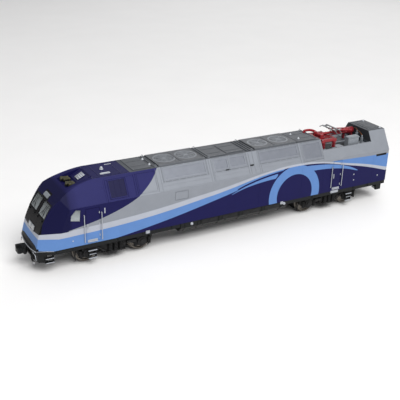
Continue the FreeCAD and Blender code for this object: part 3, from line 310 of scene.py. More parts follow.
def livery():
    """Body paint: silver with a navy cab, white and light-blue bands and a plain arch, with a painted sheen
    on the cab's leaning side and painted shade on the nose face.
    """
    graph = Graph("body_livery")
    x, y, z = graph.place()
    side_y = graph.math("ABSOLUTE", y)

    broad = graph.noise(0.16, 4.0, 0.6)
    fine = graph.noise(2.2, 3.0, 0.55)

    on_roof = graph.above(z, ROOF_Z - 0.06, 0.05)
    in_well = graph.both(graph.above(x, WELL_X0 - 0.05), graph.below(x, WELL_X1 + 0.05),
                         graph.either(graph.above(z, WELL_LIP_Z + 0.05), graph.below(side_y, 12.65)),
                         graph.above(z, WELL_FLOOR_Z - 0.1))
    ahead = graph.above(x, 100.0, 2.0)

    # the white band dips to a shallow V and thins in the middle of the nose
    centre = graph.math("MULTIPLY", graph.below(side_y, 11.5, 16.0), ahead)
    white_line = curve(graph, x, WHITE_LINE)
    half_width = graph.math("MULTIPLY", curve(graph, x, WHITE_WIDTH), 0.5)
    white_top = graph.math("SUBTRACT", graph.math("ADD", white_line, half_width),
                           graph.math("MULTIPLY", centre, 2.6))
    white_low = graph.math("SUBTRACT", graph.math("SUBTRACT", white_line, half_width),
                           graph.math("MULTIPLY", centre, 0.6))
    over_white = graph.above(z, white_top)
    over_blue = graph.above(z, white_low)

    navy_cab = graph.both(graph.above(z, curve(graph, x, NAVY_EDGE)), graph.above(x, NAVY_BACK_X))
    navy_cab = graph.either(navy_cab, graph.above(x, NAVY_WHOLE_X))
    navy_roof = graph.above(x, NAVY_ROOF_X)
    navy_upper = graph.either(graph.both(navy_cab, graph.below(z, ROOF_Z - 0.06, 0.05)),
                              graph.both(navy_roof, on_roof))

    # below the white band
    tail_top = curve(graph, x, TAIL_TOP)
    over_tail = graph.either(graph.above(x, -2.0), graph.above(z, graph.math("ADD", tail_top, TAIL_GAP)))
    front_blue = graph.both(graph.above(z, curve(graph, x, BLUE_LOW)), graph.above(x, -44.0), over_tail)
    tail_low = graph.math("SUBTRACT", tail_top, curve(graph, x, TAIL_WIDTH))
    tail = graph.both(graph.below(z, tail_top), graph.above(z, tail_low),
                      graph.above(x, -30.0), graph.below(x, 2.0))
    swoosh = graph.both(graph.below(z, curve(graph, x, SWOOSH_TOP)),
                        graph.above(z, curve(graph, x, SWOOSH_LOW)), graph.above(x, -92.8),
                        graph.below(x, -41.0))
    arch = arch_mask(graph, x, z)
    keep = graph.math("SUBTRACT", 1.0, arch_margin(graph, x, z))
    stripes = graph.either(graph.both(graph.either(front_blue, tail), keep), swoosh, arch)

    paint = graph.mix(stripes, NAVY, LIGHT_BLUE)
    paint = graph.mix(over_blue, paint, STRIPE)
    upper = graph.mix(on_roof, SILVER, SILVER_ROOF)
    rear_wedge = graph.both(graph.below(z, curve(graph, x, WEDGE_TOP)), graph.below(x, -70.0))
    upper = graph.mix(rear_wedge, upper, LIGHT_BLUE)
    # painted sheen: the navy of the cab's leaning side is made lighter where the light reflects off it
    leaning = graph.both(graph.above(z, BELT_Z), graph.below(z, ROOF_Z - 0.1), graph.below(x, 98.0, 6.0),
                         graph.above(side_y, ROOF_HALF - 0.2))
    # painted shade: the navy ahead of x = 100 on the nose face is made darker
    navy = graph.mix(leaning, graph.mix(ahead, NAVY, NAVY_NOSE_SHADE), NAVY_SLOPE_SHEEN)
    upper = graph.mix(navy_upper, upper, navy)
    paint = graph.mix(over_white, paint, upper)

    # black windshield mask and black lower apron on the nose
    mask_half = graph.math("MULTIPLY_ADD", z, -0.09, 14.6)
    windshield = graph.both(graph.above(x, NOSE_FACE_X), graph.below(side_y, mask_half),
                            graph.above(z, white_top), graph.below(z, 37.3))
    lamp_surround = graph.both(graph.above(x, NOSE_FACE_X), graph.below(side_y, 4.2), graph.above(z, 37.0),
                               graph.below(z, 40.6))
    apron = graph.both(graph.above(x, 117.0), graph.below(z, 15.3))
    paint = graph.mix(graph.either(windshield, lamp_surround, apron), paint, MASK_BLACK)
    well = graph.mix(graph.above(x, -88.0, 6.0), WELL_REAR, WELL_FRONT)
    # painted shade: the surfaces of the recess above its lip get a darker grey
    well = graph.mix(graph.below(z, WELL_LIP_Z - 0.2, 0.2), WELL_WALL_SHADE, well)
    horn_floor = graph.both(graph.above(x, HORN_X0), graph.below(x, HORN_X1), graph.below(side_y, 7.5),
                            graph.below(z, ROOF_Z - 0.3), graph.above(z, HORN_LOW_Z))
    paint = graph.mix(horn_floor, paint, NAVY)
    paint = graph.mix(in_well, paint, well)

    graph.put("Base Color", graph.tone(paint, broad, 0.035))
    metallic = graph.both(over_white, graph.math("SUBTRACT", 1.0, navy_upper), 0.12)
    graph.put("Metallic", metallic)
    graph.put("Roughness", graph.spread(fine, 0.4, 0.5))
    graph.put("Specular IOR Level", 0.1)
    graph.bump(fine, 0.12, 0.02)
    return graph.material


# plain arch of two nested circles on the lower side
ARCH_X, ARCH_Z = -43.6, 17.6
ARCH_OUTER, ARCH_INNER = 19.0, 13.2
ARCH_MARGIN = 0.9


def arch_radius(graph, x, z):
    """Distance from the arch's centre."""
    dx = graph.math("SUBTRACT", x, ARCH_X)
    dz = graph.math("SUBTRACT", z, ARCH_Z)
    squares = graph.math("ADD", graph.math("MULTIPLY", dx, dx), graph.math("MULTIPLY", dz, dz))
    return graph.math("SQRT", squares)


def arch_mask(graph, x, z):
    radius = arch_radius(graph, x, z)
    return graph.both(graph.below(radius, ARCH_OUTER), graph.above(radius, ARCH_INNER))


def arch_margin(graph, x, z):
    return graph.below(arch_radius(graph, x, z), ARCH_OUTER + ARCH_MARGIN)


# --- mesh helpers ---
class Shape:
    """Collects solids in millimetres and turns them into one Blender piece."""

    def __init__(self, name):
        self.name = name
        self.mesh = bmesh.new()

    def points(self, rings, close_ends=True):
        """Skin through rings of equal length, closed round and at both ends."""
        made = [[self.mesh.verts.new(Vector(p)) for p in ring] for ring in rings]
        for low, high in zip(made, made[1:]):
            count = len(low)
            for i in range(count):
                j = (i + 1) % count
                self.mesh.faces.new((low[i], low[j], high[j], high[i]))
        if close_ends:
            self.mesh.faces.new(list(reversed(made[0])))
            self.mesh.faces.new(made[-1])
        return self

    def box(self, x0, x1, y0, y1, z0, z1):
        low = [(x0, y0, z0), (x1, y0, z0), (x1, y1, z0), (x0, y1, z0)]
        return self.points([low, [(px, py, z1) for px, py, _ in low]])

    def prism(self, outline, along):
        along = Vector(along)
        return self.points([[Vector(p) for p in outline], [Vector(p) + along for p in outline]])

    def tube(self, path, radius, sides=10, radii=None):
        """Round bar along a list of points."""
        path = [Vector(p) for p in path]
        rings = []
        side = None
        for i, point in enumerate(path):
            ahead = path[min(i + 1, len(path) - 1)] - path[max(i - 1, 0)]
            ahead.normalize()
            if side is None:
                side = ahead.orthogonal().normalized()
            side = (side - ahead * side.dot(ahead)).normalized()
            up = ahead.cross(side)
            r = radii[i] if radii else radius
            ring = []
            for k in range(sides):
                angle = 2 * math.pi * k / sides
                ring.append(point + side * (r * math.cos(angle)) + up * (r * math.sin(angle)))
            rings.append(ring)
        return self.points(rings)

    def lathe(self, centre, axis, profile, sides=20):
        """Turned part: profile is (distance along axis, radius) pairs."""
        centre, axis = Vector(centre), Vector(axis).normalized()
        return self.tube([centre + axis * d for d, _ in profile], 0, sides, [r for _, r in profile])

    def mirrored(self):
        """Adds the mirror image on the right-hand side."""
        copies = bmesh.ops.duplicate(self.mesh, geom=self.mesh.verts[:] + self.mesh.faces[:])
        verts = [g for g in copies["geom"] if isinstance(g, bmesh.types.BMVert)]
        faces = [g for g in copies["geom"] if isinstance(g, bmesh.types.BMFace)]
        for vert in verts:
            vert.co.y = -vert.co.y
        bmesh.ops.reverse_faces(self.mesh, faces=faces)
        return self

    def to_object(self, material):
        """Blender object in metres, with one material."""
        bmesh.ops.scale(self.mesh, vec=(MM, MM, MM), verts=self.mesh.verts)
        data = bpy.data.meshes.new(self.name)
        self.mesh.to_mesh(data)
        self.mesh.free()
        data.materials.append(material)
        made = bpy.data.objects.new(self.name, data)
        bpy.context.scene.collection.objects.link(made)
        return made

    def piece(self, material, body="chassis", slot=None, bevel=0.08):
        """Finished piece that rides on a body. The usual slot is looked up unless one is named, but it is
        not kept on the piece.
        """
        bmesh.ops.recalc_face_normals(self.mesh, faces=self.mesh.faces)
        made = self.to_object(material)
        for polygon in made.data.polygons:
            polygon.use_smooth = True
        if bevel:
            add_bevel(made, bevel)
        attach(made, body)
        slot or USUAL_SLOT[material]
        return made


def add_bevel(made, width, angle=35, segments=2):
    modifier = made.modifiers.new("bevel", "BEVEL")
    modifier.width = width * MM
    modifier.segments = segments
    modifier.limit_method = "ANGLE"
    modifier.angle_limit = math.radians(angle)
    modifier.harden_normals = True


def slope_point(x, z, rise=0.0, side=1):
    """Point on the leaning upper side at height z, lifted outwards by rise."""
    run = HALF_WIDTH - ROOF_HALF
    climb = ROOF_Z - BELT_Z
    length = math.hypot(run, climb)
    y = HALF_WIDTH - (z - BELT_Z) * run / climb
    return Vector((x, side * (y + rise * climb / length), z + rise * run / length))


def slope_slab(shape, x0, x1, z0, z1, low, high):
    """Thin slab lying on the leaning side."""
    outline = [slope_point(x0, z0, low), slope_point(x0, z1, low), slope_point(x0, z1, high),
               slope_point(x0, z0, high)]
    shape.prism(outline, (x1 - x0, 0, 0))


def slope_frame(shape, x0, x1, z0, z1, line, low, high):
    """Raised rectangular rim on the leaning side."""
    slope_slab(shape, x0, x1, z1 - line, z1, low, high)
    slope_slab(shape, x0, x1, z0, z0 + line, low, high)
    slope_slab(shape, x0, x0 + line, z0 + line, z1 - line, low, high)
    slope_slab(shape, x1 - line, x1, z0 + line, z1 - line, low, high)


# --- floor ---
def make_floor():
    shape = Shape("floor")
    shape.box(-2500, 2500, -2500, 2500, -6.0, -0.02)
    paper = surface("floor_paper", "#f4f3f2", (0.8, 0.9), 0.01, 0.02, grain=0.01, specular=0.2)
    floor = shape.to_object(paper)


make_camera()
make_lights()
make_floor()

# --- materials of the CAD nodes ---
PAINT = livery()
BLACK = surface("black_moulding", "#101213", (0.42, 0.6), 0.12, 0.5, grain=0.03, specular=0.25)
TRUCK = surface("truck_black", "#1a1a1b", (0.5, 0.7), 0.2, 0.8, grain=0.05, specular=0.3)
DIE_CAST = surface("die_cast", "#3a3b3e", (0.45, 0.6), 0.1, 0.5, metal=0.4, grain=0.05)
WHEEL = surface("wheel_steel", "#6b6660", (0.25, 0.4), 0.15, 1.2, metal=0.9, grain=0.02)
NYLON = surface("gear_nylon", "#c9c4b0", (0.35, 0.5), 0.05, 1.0)
BRASS = surface("turned_brass", "#b58d44", (0.2, 0.32), 0.08, 1.5, metal=1.0)
OLIVE_BRASS = surface("horn_brass", "#3c3a26", (0.35, 0.5), 0.15, 1.5, metal=0.5)
BRONZE = surface("bronze", "#8d6239", (0.25, 0.4), 0.1, 1.5, metal=1.0)
STEEL = surface("ground_steel", "#9b9c9e", (0.22, 0.34), 0.06, 1.5, metal=1.0)
ROOF = surface("roof_grey", SILVER_ROOF, (0.42, 0.55), 0.06, 0.25, metal=0.15, grain=0.03)
GRILLE = surface("side_grille", "#888c95", (0.4, 0.5), 0.05, 0.4, metal=0.25)
ROOF_GRILLE = surface("roof_grille", "#7c8086", (0.4, 0.5), 0.08, 0.8, metal=0.3)
FAN = surface("fan_grey", "#5d6165", (0.5, 0.6), 0.08, 0.8)
GLASS = glass_material()
LENS = surface("lamp_lens", "#7d8288", (0.08, 0.18), 0.08, 2.0, coat=0.6, specular=0.8)
RED = surface("pantograph_red", "#8e2028", (0.35, 0.5), 0.1, 1.5, grain=0.02, coat=0.1)
INSULATOR = surface("insulator_red", "#86202a", (0.2, 0.35), 0.1, 1.5, coat=0.3)
CARBON = surface("contact_strip", "#85878a", (0.3, 0.45), 0.1, 2.0, metal=0.8)
EQUIPMENT = surface("equipment_grey", "#8b9097", (0.42, 0.55), 0.08, 0.8)
BOARD = surface("circuit_green", "#1d5a33", (0.25, 0.4), 0.1, 1.0, coat=0.3)
CAN = surface("motor_can", "#8f9092", (0.25, 0.38), 0.05, 0.9, metal=1.0)
SILVER_TRIM = surface("silver_trim", "#a7abb2", (0.35, 0.45), 0.06, 1.0, metal=0.3)
# painted shade: darker grey lines standing in for the shade in the panel grooves
GROOVE_SHADE = surface("panel_groove_shade", "#5f636a", (0.5, 0.6), 0.05, 0.4, specular=0.2)
NAVY_TRIM = surface("navy_trim", NAVY, (0.34, 0.44), 0.035, 0.16, specular=0.2)
NAVY_PANEL = surface("navy_panel", "#12113a", (0.4, 0.5), 0.05, 0.3, specular=0.15)
RUBBER = surface("black_rubber", "#141415", (0.55, 0.75), 0.12, 0.9, grain=0.03, specular=0.25)
WHITE = surface("white_plastic", "#b6babf", (0.3, 0.42), 0.04, 0.8, specular=0.4)
SEAT = surface("cab_seat", "#2b303a", (0.7, 0.9), 0.15, 3.0, grain=0.05, specular=0.2)
DESK = surface("cab_desk", "#6a6e70", (0.5, 0.65), 0.08, 1.0, specular=0.3)
REAR_BLACK = surface("gangway_rubber", "#18191b", (0.6, 0.8), 0.15, 0.7, grain=0.05, specular=0.2)
RED_LENS = surface("red_lens", "#7d1518", (0.1, 0.2), 0.08, 2.0, coat=0.4)
CABLE = surface("copper_cable", "#7a4a2c", (0.3, 0.5), 0.15, 4.0, metal=0.8)

ROOF_PLATES = split_finish("roof_plates", SILVER_ROOF, NAVY, 70.0, (0.42, 0.55), 0.03)
ROOF_GEAR = split_finish("roof_gear", "#7f848a", "#8e2028", -74.9, (0.4, 0.52), 0.02)

# usual slot of a piece that names none
USUAL_SLOT = {
    PAINT: "body_paint", GROOVE_SHADE: "body_paint", NAVY_PANEL: "body_paint", NAVY_TRIM: "body_paint",
    BLACK: "black_plastic", RUBBER: "black_plastic", REAR_BLACK: "black_plastic", SEAT: "black_plastic",
    ROOF: "roof_grey", ROOF_GRILLE: "roof_grey", EQUIPMENT: "equipment_grey", DESK: "equipment_grey",
    WHITE: "lamp_lens", RED_LENS: "lamp_lens", SILVER_TRIM: "rail_silver", STEEL: "steel",
    RED: "panto_red", CABLE: "bronze",
}

# CAD nodes of each finish, where END stands for front and for rear
NODES_OF = {
    PAINT: "body_shell",
    GRILLE: "side_grilles",
    GLASS: "window_glass",
    LENS: "headlight_lenses",
    DIE_CAST: "chassis_frame",
    STEEL: "body_screws motor_rotor END_universal_ball END_drive_shaft END_worm",
    BLACK: "fuel_tank underframe_rails front_pilot rear_pilot coupler_boxes speaker "
          "END_coupler END_knuckle",
    BOARD: "circuit_board",
    ROOF: "roof_hatches",
    ROOF_GRILLE: "fan_grilles",
    FAN: "cooling_fans",
    ROOF_PLATES: "roof_panels",
    OLIVE_BRASS: "horns",
    SILVER_TRIM: "grab_irons",
    RED: "pantograph_base pantograph_lower_arm pantograph_upper_arm pantograph_control_rod",
    INSULATOR: "pantograph_insulators roof_breaker",
    CARBON: "pantograph_head",
    ROOF_GEAR: "roof_equipment",
    CAN: "motor_housing",
    BRASS: "flywheels",
    TRUCK: "END_truck_housing END_gear_cover END_truck_sides",
    BRONZE: "END_axle_bearings END_pickup_strips",
    NYLON: "END_centre_gear END_outer_idler END_inner_idler",
    WHEEL: "END_outer_wheelset END_inner_wheelset",
}
FINISH = {
    name: finish
    for finish, names in NODES_OF.items()
    for end in ("front", "rear")
    for name in names.replace("END", end).split()
}

for name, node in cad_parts.items():
    node.data.materials.clear()
    node.data.materials.append(FINISH[name])

# --- finding the CAD skin ---
def skin_tree(node):
    return BVHTree.FromObject(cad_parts[node], bpy.context.evaluated_depsgraph_get())


SHELL_TREE = skin_tree("body_shell")
GLASS_TREE = skin_tree("window_glass")


def on_skin(start, heading, lift=0.0, tree=SHELL_TREE):
    """First point of the skin met from start along heading, lifted off it by lift."""
    hit, normal, _, _ = tree.ray_cast(Vector(start) * MM, Vector(heading))
    if normal.dot(Vector(heading)) > 0:
        normal = -normal
    return hit / MM + normal * lift


def on_nose(y, z, lift=0.0, tree=SHELL_TREE):
    return on_skin((150, y, z), (-1, 0, 0), lift, tree)


def on_left(x, z, lift=0.0, tree=SHELL_TREE):
    return on_skin((x, 60, z), (0, -1, 0), lift, tree)


def closed_loop(corners, steps, place):
    """Points round a closed outline, put on the skin by place(a, b)."""
    points = []
    for (a0, b0), (a1, b1) in zip(corners, corners[1:] + corners[:1]):
        for i in range(steps):
            share = i / steps
            points.append(place(a0 + (a1 - a0) * share, b0 + (b1 - b0) * share))
    return points + [points[0], points[1]]


def bolt(shape, place, axis=(0, 0, 1), radius=0.28, height=0.16):
    """Six-sided bolt head on a small washer."""
    washer = radius * 1.35
    profile = [(-0.1, washer), (0.04, washer), (0.05, radius), (height, radius * 0.85)]
    shape.lathe(place, axis, profile, 6)


# --- leaning side ---
PANEL_Z = (41.5, 47.0)
PANELS_X = ((2.9, 11.7), (-9.1, 1.4), (-46.6, -19.1))
GRILLE_X, GRILLE_Z = (17.6, 44.1), (41.3, 47.2)
TALL_X, TALL_Z = (-64.3, -50.6), (38.2, 47.0)
FRAMED = [(span, PANEL_Z) for span in PANELS_X] + [(GRILLE_X, GRILLE_Z), (TALL_X, TALL_Z)]
POSTS_X = (46.2, 14.9, 12.6, -10.4, -14.6, -18.0, -48.0, -49.5, -65.0)


def slope_details():
    rims = Shape("slope_panel_frames")
    edge, line = 0.75, 0.4
    for (x0, x1), (z0, z1) in FRAMED:
        slope_frame(rims, x0 - edge, x1 + edge, z0 - edge * 0.7, z1 + edge * 0.6, line, -0.1, 0.24)
    rims.mirrored().piece(PAINT, bevel=0.06)

    # painted shade: thin darker grey strips round the panels and at the joints stand in for the shade in the
    # grooves
    grooves = Shape("slope_panel_grooves")
    edge, line = 1.15, 0.2
    for (x0, x1), (z0, z1) in FRAMED:
        slope_frame(grooves, x0 - edge, x1 + edge, z0 - edge * 0.8, min(z1 + edge * 0.6, 47.8), line,
                    -0.1, 0.04)
    for x in (-18.9, -11.7, 13.6, 48.7):
        slope_slab(grooves, x - 0.1, x + 0.1, BELT_Z + 0.5, ROOF_Z - 0.5, -0.1, 0.04)
    grooves.mirrored().piece(GROOVE_SHADE, bevel=0.02)

    posts = Shape("slope_posts")
    for x in POSTS_X:
        slope_slab(posts, x - 0.28, x + 0.28, BELT_Z + 0.3, ROOF_Z - 0.4, -0.1, 0.2)
    posts.mirrored().piece(PAINT, bevel=0.06)

    ledges = Shape("slope_ledges")
    for z, x0, x1, rise in ((36.35, -65.0, 48.6, 0.14), (38.6, -48.3, 48.6, 0.1),
                            (40.25, -48.3, 48.6, 0.16)):
        slope_slab(ledges, x0, x1, z - 0.14, z + 0.14, -0.1, rise)
    ledges.mirrored().piece(PAINT, bevel=0.05)

    screws = Shape("slope_screws")
    outwards = slope_point(0, 40, 1.0) - slope_point(0, 40, 0.0)
    for x0, x1 in PANELS_X + (GRILLE_X,):
        count = max(2, round((x1 - x0) / 4.4))
        for i in range(count + 1):
            x = x0 + (x1 - x0) * i / count
            for z in (PANEL_Z[0] - 0.95, PANEL_Z[1] + 0.72):
                bolt(screws, slope_point(x, z), outwards, 0.16, 0.14)
    screws.mirrored().piece(SILVER_TRIM, slot="body_paint", bevel=0)

    handles = Shape("slope_handles")
    for x in (4.1, -12.7):
        foot_a, foot_b = slope_point(x - 0.9, 40.9), slope_point(x + 0.9, 40.9)
        top_a, top_b = slope_point(x - 0.9, 40.9, 0.75), slope_point(x + 0.9, 40.9, 0.75)
        handles.tube([foot_a, top_a, top_a.lerp(top_b, 0.5), top_b, foot_b], 0.22, 8)
        slope_slab(handles, x - 1.2, x + 1.2, 40.55, 41.25, -0.1, 0.12)
    handles.mirrored().piece(BLACK, bevel=0.03)


def cab_slope_details():
    """Framed hatch, post and rain strip on the leaning side of the cab."""
    trim = Shape("cab_hatch_frame")
    slope_frame(trim, 66.2, 78.8, 35.9, 47.0, 0.75, -0.1, 0.3)
    slope_frame(trim, 67.3, 77.4, 37.1, 46.1, 0.45, -0.1, 0.42)
    slope_slab(trim, 61.6, 62.3, 36.7, 46.9, -0.1, 0.3)
    slope_slab(trim, 59.9, 60.3, 37.2, 46.9, -0.1, 0.16)
    slope_slab(trim, 62.3, 66.2, 46.4, 46.9, -0.1, 0.2)
    slope_frame(trim, 49.2, 61.2, 37.0, 47.0, 0.4, -0.1, 0.26)
    trim.mirrored().piece(PAINT, bevel=0.08)

    panel = Shape("cab_hatch_panel")
    slope_slab(panel, 67.7, 77.0, 37.5, 45.7, -0.1, 0.12)
    for i in range(2):
        slope_slab(panel, 70.6 + 3.1 * i, 70.8 + 3.1 * i, 37.8, 45.4, 0.1, 0.2)
    panel.mirrored().piece(NAVY_PANEL, bevel=0.08)

    lip = Shape("cab_belt_strip")
    for x0, x1 in ((79.9, 98.6), (55.0, 79.3)):
        slope_slab(lip, x0, x1, BELT_Z + 0.05, BELT_Z + 0.3, -0.1, 0.12)
    slope_slab(lip, 79.5, 79.75, BELT_Z + 0.3, ROOF_Z - 1.6, -0.1, 0.1)
    crease = [slope_point(80.0, z, rise) for z,
              rise in ((42.7, -0.1), (42.95, -0.1), (42.95, 0.12), (42.7, 0.12))]
    lip.prism(crease, (16.5, 0, -0.95))
    lip.mirrored().piece(PAINT, bevel=0.04)


slope_details()
cab_slope_details()


# --- flat roof ---
def roof_details():
    seams = Shape("roof_seams")
    for x in (63.2, 49.0, 46.8, 16.0, 1.4, -17.0, -48.9, -64.6, -106.6):
        seams.box(x - 0.22, x + 0.22, -9.85, 9.85, ROOF_Z - 0.1, ROOF_Z + 0.14)
    for x0, x1 in ((-16.8, 16.0), (-64.4, -49.2), (49.4, 63.0)):
        for y in (-9.5, 9.5):
            seams.box(x0, x1, y - 0.15, y + 0.15, ROOF_Z - 0.1, ROOF_Z + 0.16)
    seams.piece(ROOF, bevel=0.05)

    bolts = Shape("roof_bolts")
    for x0, x1, y, z in ((17.4, 44.9, 8.6, 48.7), (-46.7, -18.3, 8.6, 48.7), (2.7, 12.7, 8.0, 48.25),
                         (-9.8, 0.2, 6.6, 48.25), (-61.8, -50.0, 7.8, 48.25), (50.8, 60.4, 7.8, 48.25)):
        count = max(3, round((x1 - x0) / 2.9))
        for i in range(count + 1):
            bolt(bolts, (x0 + (x1 - x0) * i / count, y, z), radius=0.2, height=0.14)
            bolt(bolts, (x0 + (x1 - x0) * i / count, -y, z), radius=0.2, height=0.14)
    bolts.piece(ROOF_GRILLE, bevel=0)

    ribs = Shape("hatch_stiffeners")
    for x0, x1, y in ((30.3, 31.9, 7.4), (16.8, 17.2, 8.2), (-33.4, -31.8, 7.4), (-17.9, -17.7, 8.2)):
        ribs.box(x0, x1, -y, y, 48.6, 48.9)
    for y in (-3.6, 3.6):
        for x0, x1 in ((3.2, 12.2), (-9.6, 0.0), (-61.4, -50.4), (51.2, 60.0)):
            ribs.box(x0, x1, y - 0.2, y + 0.2, 48.15, 48.42)
    ribs.piece(ROOF, bevel=0.08)

    eyes = Shape("lifting_eyes")
    for x in (47.5, -15.3, 13.9, -63.6):
        for y in (-8.9, 8.9):
            ring = [(x + 0.5 * math.cos(a), y, 48.6 + 0.5 * math.sin(a)) for a in
                    [math.pi * k / 6 for k in range(-2, 9)]]
            eyes.tube(ring, 0.17, 8)
            eyes.box(x - 0.75, x + 0.75, y - 0.35, y + 0.35, ROOF_Z - 0.05, ROOF_Z + 0.35)
    eyes.piece(ROOF_GRILLE, bevel=0.04)

    lamps = Shape("roof_marker_lamps")
    for x, y in ((49.2, 4.5), (-52.9, 4.2), (-115.9, 8.0)):
        for side in (-1, 1):
            base = 48.2 if x < 0 and x > -60 else ROOF_Z
            lamps.lathe((x, y * side, base), (0, 0, 1),
                        [(-0.1, 0.75), (0.25, 0.75), (0.3, 0.55), (0.8, 0.5), (1.0, 0.3), (1.05, 0.05)],
                        14)
    lamps.piece(WHITE, bevel=0)

    dome = Shape("antenna_dome")
    dome.lathe((75.5, -0.8, ROOF_Z), (0, 0, 1),
               [(-0.1, 1.1), (0.3, 1.1), (0.35, 0.85), (1.0, 0.8), (1.45, 0.55), (1.65, 0.1)], 20)
    dome.box(73.3, 79.0, 5.5, 6.5, ROOF_Z - 0.1, ROOF_Z + 0.55)
    dome.box(73.9, 78.4, 5.75, 6.25, ROOF_Z + 0.5, ROOF_Z + 0.8)
    dome.box(67.6, 71.7, -6.35, -6.05, ROOF_Z - 0.1, ROOF_Z + 0.3)
    dome.piece(WHITE, bevel=0.1)

    rails = Shape("cab_roof_strips")
    for y in (-9.0, 9.0):
        rails.box(64.6, 82.4, y - 0.15, y + 0.15, ROOF_Z - 0.1, ROOF_Z + 0.12)
    rails.box(80.0, 80.4, -8.8, 8.8, ROOF_Z - 0.1, ROOF_Z + 0.12)
    rails.box(68.0, 68.4, -8.8, 8.8, ROOF_Z - 0.1, ROOF_Z + 0.12)
    rails.piece(NAVY_TRIM, bevel=0.04)

    block = Shape("rear_roof_block_details")
    block.box(-108.1, -107.1, -5.5, 5.5, ROOF_Z - 0.1, ROOF_Z + 0.3)
    for y in (-9.0, 9.0):
        block.box(-117.4, -107.0, y - 0.15, y + 0.15, ROOF_Z - 0.1, ROOF_Z + 0.16)
    block.box(-117.4, -109.4, -6.6, 6.6, ROOF_Z - 0.1, ROOF_Z + 0.14)
    for i in range(5):
        block.box(-116.6 + 1.45 * i, -116.1 + 1.45 * i, -5.8, 5.8, ROOF_Z, ROOF_Z + 0.22)
    block.piece(ROOF, bevel=0.06)

    grid = Shape("horn_recess_grid")
    back, foot = 83.9, 91.9
    fall = math.atan2(ROOF_Z - 44.0, foot - back)

    def on_fall(along, y, rise):
        x = back + along * math.cos(fall) + rise * math.sin(fall)
        return Vector((x, y, ROOF_Z - along * math.sin(fall) + rise * math.cos(fall)))

    for y in (-2.1, -0.7, 0.7, 2.1):
        grid.tube([on_fall(2.2, y, 0.72), on_fall(6.7, y, 0.72)], 0.24, 8)
    for along in (2.5, 3.8, 5.1, 6.4):
        grid.tube([on_fall(along, -2.4, 0.72), on_fall(along, 2.4, 0.72)], 0.24, 8)
    grid.piece(WHITE, slot="roof_grey", bevel=0)


roof_details()


# --- nose and windows ---
WINDSHIELD = [(1.2, 29.9), (1.2, 37.4), (11.25, 37.4), (11.85, 29.9)]
SIDE_PANE = [(94.75, 27.85), (94.15, 34.95), (97.4, 35.5), (100.3, 32.35), (100.65, 28.85)]


def nose_details():
    gasket = Shape("windshield_gaskets")
    gasket.tube(closed_loop(WINDSHIELD, 8, lambda y, z: on_nose(y, z, 0.0)), 0.24, 8)
    gasket.mirrored().piece(RUBBER, bevel=0)

    side = Shape("cab_window_gaskets")
    side.tube(closed_loop(SIDE_PANE, 6, lambda x, z: on_left(x, z, 0.0)), 0.16, 8)
    side.mirrored().piece(PAINT, bevel=0)

    wipers = Shape("windshield_wipers")
    for foot, tip, low, high in ((2.6, 6.4, 0.0, 3.4), (9.9, 8.2, 0.0, 3.6)):
        pivot = on_nose(foot, 29.2, 0.55)
        elbow = on_nose((foot + tip) / 2, 31.2, 0.55, GLASS_TREE)
        end = on_nose(tip, 33.4, 0.45, GLASS_TREE)
        wipers.lathe(on_nose(foot, 29.2), pivot - on_nose(foot, 29.2),
                     [(-0.1, 0.5), (0.4, 0.5), (0.7, 0.3)], 10)
        wipers.tube([pivot, elbow, end], 0.12, 6)
        wipers.tube([on_nose(tip - 0.3, 31.2, 0.3, GLASS_TREE), end,
                     on_nose(tip + 0.3, 36.0, 0.3, GLASS_TREE)], 0.1, 6)
    wipers.mirrored().piece(BLACK, bevel=0)

    bezels = Shape("lamp_bezels")
    upper = [(-3.5, 38.1), (-3.5, 40.2), (3.5, 40.2), (3.5, 38.1)]
    lower = [(0.1, 21.7), (0.1, 24.7), (4.6, 24.7), (4.6, 21.7)]
    bezels.tube(closed_loop(upper, 6, lambda y, z: on_nose(y, z, 0.0)), 0.15, 8)
    for side_sign in (-1, 1):
        corners = [(y * side_sign, z) for y, z in lower]
        bezels.tube(closed_loop(corners, 5, lambda y, z: on_nose(y, z, 0.0)), 0.15, 8)
    bezels.piece(RUBBER, bevel=0)

    rivets = Shape("nose_rivets")
    for y in (-11.0, -7.6, -4.2, 4.2, 7.6, 11.0):
        place = on_nose(y, 26.6)
        rivets.lathe(place, on_nose(y, 26.6, 1.0) - place, [(-0.1, 0.26), (0.08, 0.24), (0.14, 0.1)], 8)
    rivets.piece(RUBBER, bevel=0)


APRON_HALF = 12.7
APRON_STEPS = 16


def apron_edge(share, out=0.0):
    """Point on the apron's lower edge; share runs from -1 to 1 across the nose."""
    bow = 1 - share * share
    return Vector((118.3 + 1.2 * bow + out, APRON_HALF * share, 13.7 - 0.75 * bow))


def nose_apron():
    apron = Shape("nose_apron")
    rings = []
    for i in range(APRON_STEPS + 1):
        share = -1 + 2 * i / APRON_STEPS
        low = apron_edge(share)
        top = on_nose(low.y, 16.0 if abs(share) < 0.8 else 15.6, -0.05)
        rings.append([low, low - Vector((0.7, 0, 0)), top - Vector((0.9, 0, 0)),
                      top + Vector((0.18, 0, 0))])
    apron.points(rings)
    apron.piece(BLACK, bevel=0.1)

    trim = Shape("nose_apron_trim")
    trim.tube([apron_edge(-1 + 2 * i / APRON_STEPS, 0.1) for i in range(APRON_STEPS + 1)], 0.22, 8)
    for side in (-1, 1):
        trim.tube([(118.0, 12.9 * side, 13.8), (113.5, 14.9 * side, 13.9), (109.8, 16.6 * side, 13.95)],
                  0.16, 8)
    trim.piece(SILVER_TRIM, bevel=0)


